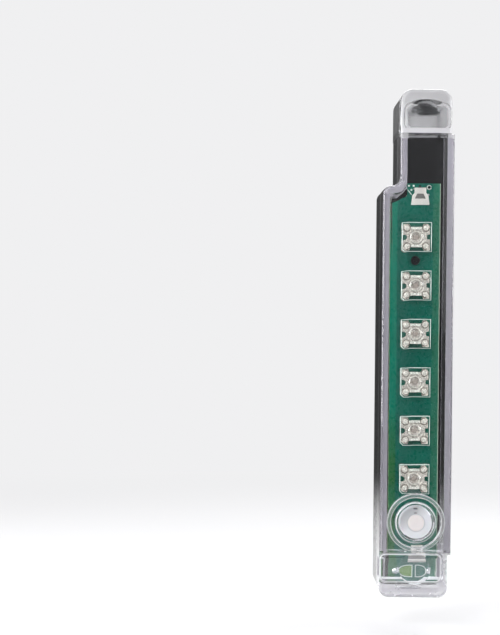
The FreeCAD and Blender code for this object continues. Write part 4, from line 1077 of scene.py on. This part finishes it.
    def make_block(self, name: str) -> Piece:
        """Works the block out as rings about the lamp's axis.

        A ring lies share of the way from the dome's foot circle to the block's outline, and the dome's depth is
        top - ball + sqrt(ball^2 - radius^2), where ball is the radius of the ball it is cut from.
        """
        half, cut = self.half, self.half - self.corner
        corners = np.array([(half, -half), (half, half), (-half, half), (-half, -cut), (-cut, -half)])
        angle, reach = self.spokes(corners, 160)
        height = self.top - self.face
        ball = (self.foot ** 2 + height ** 2) / (2 * height)
        rings = [(0.0 * reach, self.top)]
        for radius in self.foot * np.sin(np.linspace(0.05, 1, 16) * np.pi / 2):
            rings.append((radius + 0 * reach, self.top - ball + math.sqrt(max(0.0, ball ** 2 - radius ** 2))))
        for share in (0.05, 0.1, 0.5, 1.0):
            rings.append((self.foot + share * (reach - self.rim - self.foot), self.face))
        for turn in np.linspace(0, np.pi / 2, 5)[1:]:
            inset = self.rim * (1 - math.sin(turn))
            rings.append((reach - inset, self.face - self.rim * (1 - math.cos(turn))))
        rings += [(reach, self.face - 0.6), (reach, self.back + 0.1), (reach - 0.1, self.back),
                  (0.0 * reach, self.back)]
        radius = np.array([ring for ring, _ in rings])
        depth = np.array([depth for _, depth in rings])[:, None]
        block = put_mesh(name, place_points(radius * np.cos(angle), depth, self.level + radius * np.sin(angle)))
        x, y, z = vectors(block.data.vertices, "co").T / MM
        side = np.maximum(np.abs(x), np.abs(z - self.level)) > half - self.rim * 0.7
        side |= -(x + z - self.level) > 2 * half - self.corner - self.rim
        mark(block.data, "frost", "POINT", side & (-y > self.face - 0.5))
        return block


@dataclass
class PushButton:
    """The cap with its round centre, and the switch under it.

    The dish is its outer radius, its inner radius and its depth. A pit is its height over the middle, its two half
    sizes and its share of the depth and of the painted shade.
    """
    radius: float = 4.15
    front: float = 23.9
    back: float = 20.4
    roof: float = 22.6
    hollow: float = 3.2
    stem: float = 1.6
    foot: float = 19.9
    rounding: float = 0.4
    dish: Row = (3.7, 2.0, 0.14)
    spot: float = 2.0
    spot_rise: float = 0.15
    pit_x: float = -0.15
    pit_depth: float = 0.2
    pits: tuple[Row, ...] = ((3.5, 0.65, 0.3, 1.0), (2.4, 0.5, 0.24, 0.8))

    def build(self) -> None:
        """Makes the cap and its centre and dresses the switch."""
        cap = lathe("white_cap", self.cap_profile(), (0.0, BUTTON_Z), 128, self.dimples)
        self.shadow(cap.data)
        WHITE.make().dress(cap, BUTTON, "white_plastic", "button_cap")
        rim = [(0.0, -0.4), (self.spot, -0.4), (self.spot, -0.08), (self.spot - 0.03, -0.02), (self.spot - 0.1, 0.0),
               (1.2, -0.02), (0.0, -0.04)]
        profile = np.array(rim) + (0.0, self.front + self.spot_rise)
        BEIGE.make().dress(lathe("round_centre", profile, (0.0, BUTTON_Z), 96), BUTTON, "white_plastic")
        SWITCH.make().skin_nodes("switch_body", "switch_plunger")
        STEEL.make().skin_nodes("switch_frame")

    def cap_profile(self) -> Array:
        """The cap's section as radius and depth, from the stem's end round the outside to the middle of its top."""
        turn = np.linspace(0, np.pi / 2, 7)
        edge = np.stack([self.radius - self.rounding * (1 - np.cos(turn)),
                         self.front - self.rounding * (1 - np.sin(turn))], -1)
        inside = [(0, self.foot), (self.stem, self.foot), (self.stem, self.roof), (self.hollow, self.roof),
                  (self.hollow, self.back), (self.radius, self.back)]
        outer, inner, depth = self.dish
        share = np.linspace(0, 1, 24)
        dish = np.stack([outer - (outer - inner) * share, self.front - depth * np.sin(share * np.pi / 2)], -1)
        return np.concatenate([inside, edge, dish, [(0, self.front - depth)]])

    def bells(self, x: Array, z: Array) -> Array:
        """Two small bell shapes, wider than they are high, one over the other."""
        return sum(share * bell(x, self.pit_x, wide, 4) * bell(z, up, high) for up, wide, high, share in self.pits)

    def dimples(self, x: Array, z: Array) -> Array:
        """Sinks two small round pits in the cap's face above its centre."""
        return -np.where(np.hypot(x, z) < self.radius - 0.1, self.pit_depth * self.bells(x, z), 0.0)

    def shadow(self, mesh: bpy.types.Mesh) -> None:
        """Marks painted shade on the cap: in its pits, on its side, as a line round the centre, and a painted shadow
        on the edge at the lower right.

        The dish gets a little painted shade towards its upper left.
        """
        x, y, z = vectors(mesh.vertices, "co").T / MM - np.array([[0.0], [0.0], [BUTTON_Z]])
        radius = np.hypot(x, z)
        dark = np.clip(1.1 * self.bells(x, z), 0, 1) * (-y > self.front - 0.6)
        # Painted shade on the side, round the centre and towards the upper left; a painted shadow on the lower right
        # edge.
        for shade_level in (0.8 * (-y < self.front - 0.45), 0.25 * bell(radius, 2.15, 0.14),
                            0.5 * np.clip((z - 0.8 * x) / self.radius, 0, 1) ** 0.8 * (radius > 2.1),
                            0.95 * ((0.6 * x - 0.8 * z) > 0.2 * radius) * (radius > self.radius - 0.25)):
            dark = np.maximum(dark, shade_level)
        mark(mesh, "groove_and_painted_shade", "POINT", dark)


def main() -> None:
    """Builds the bar piece by piece."""
    for part in (Studio(), ClearCover(), Tray(), BatteryDoor(), Cells(), Board(), PushButton()):
        part.build()
        log.info("built %s", type(part).__name__)
    resin, silver, die = Resin().make(), LeadSilver().make(), LED_DIE.make()
    for number in range(1, LAMPS + 1):
        SquareLamp(number).build(resin, silver, die)
        log.info("built lamp %d", number)


if __name__ == "__main__":
    main()
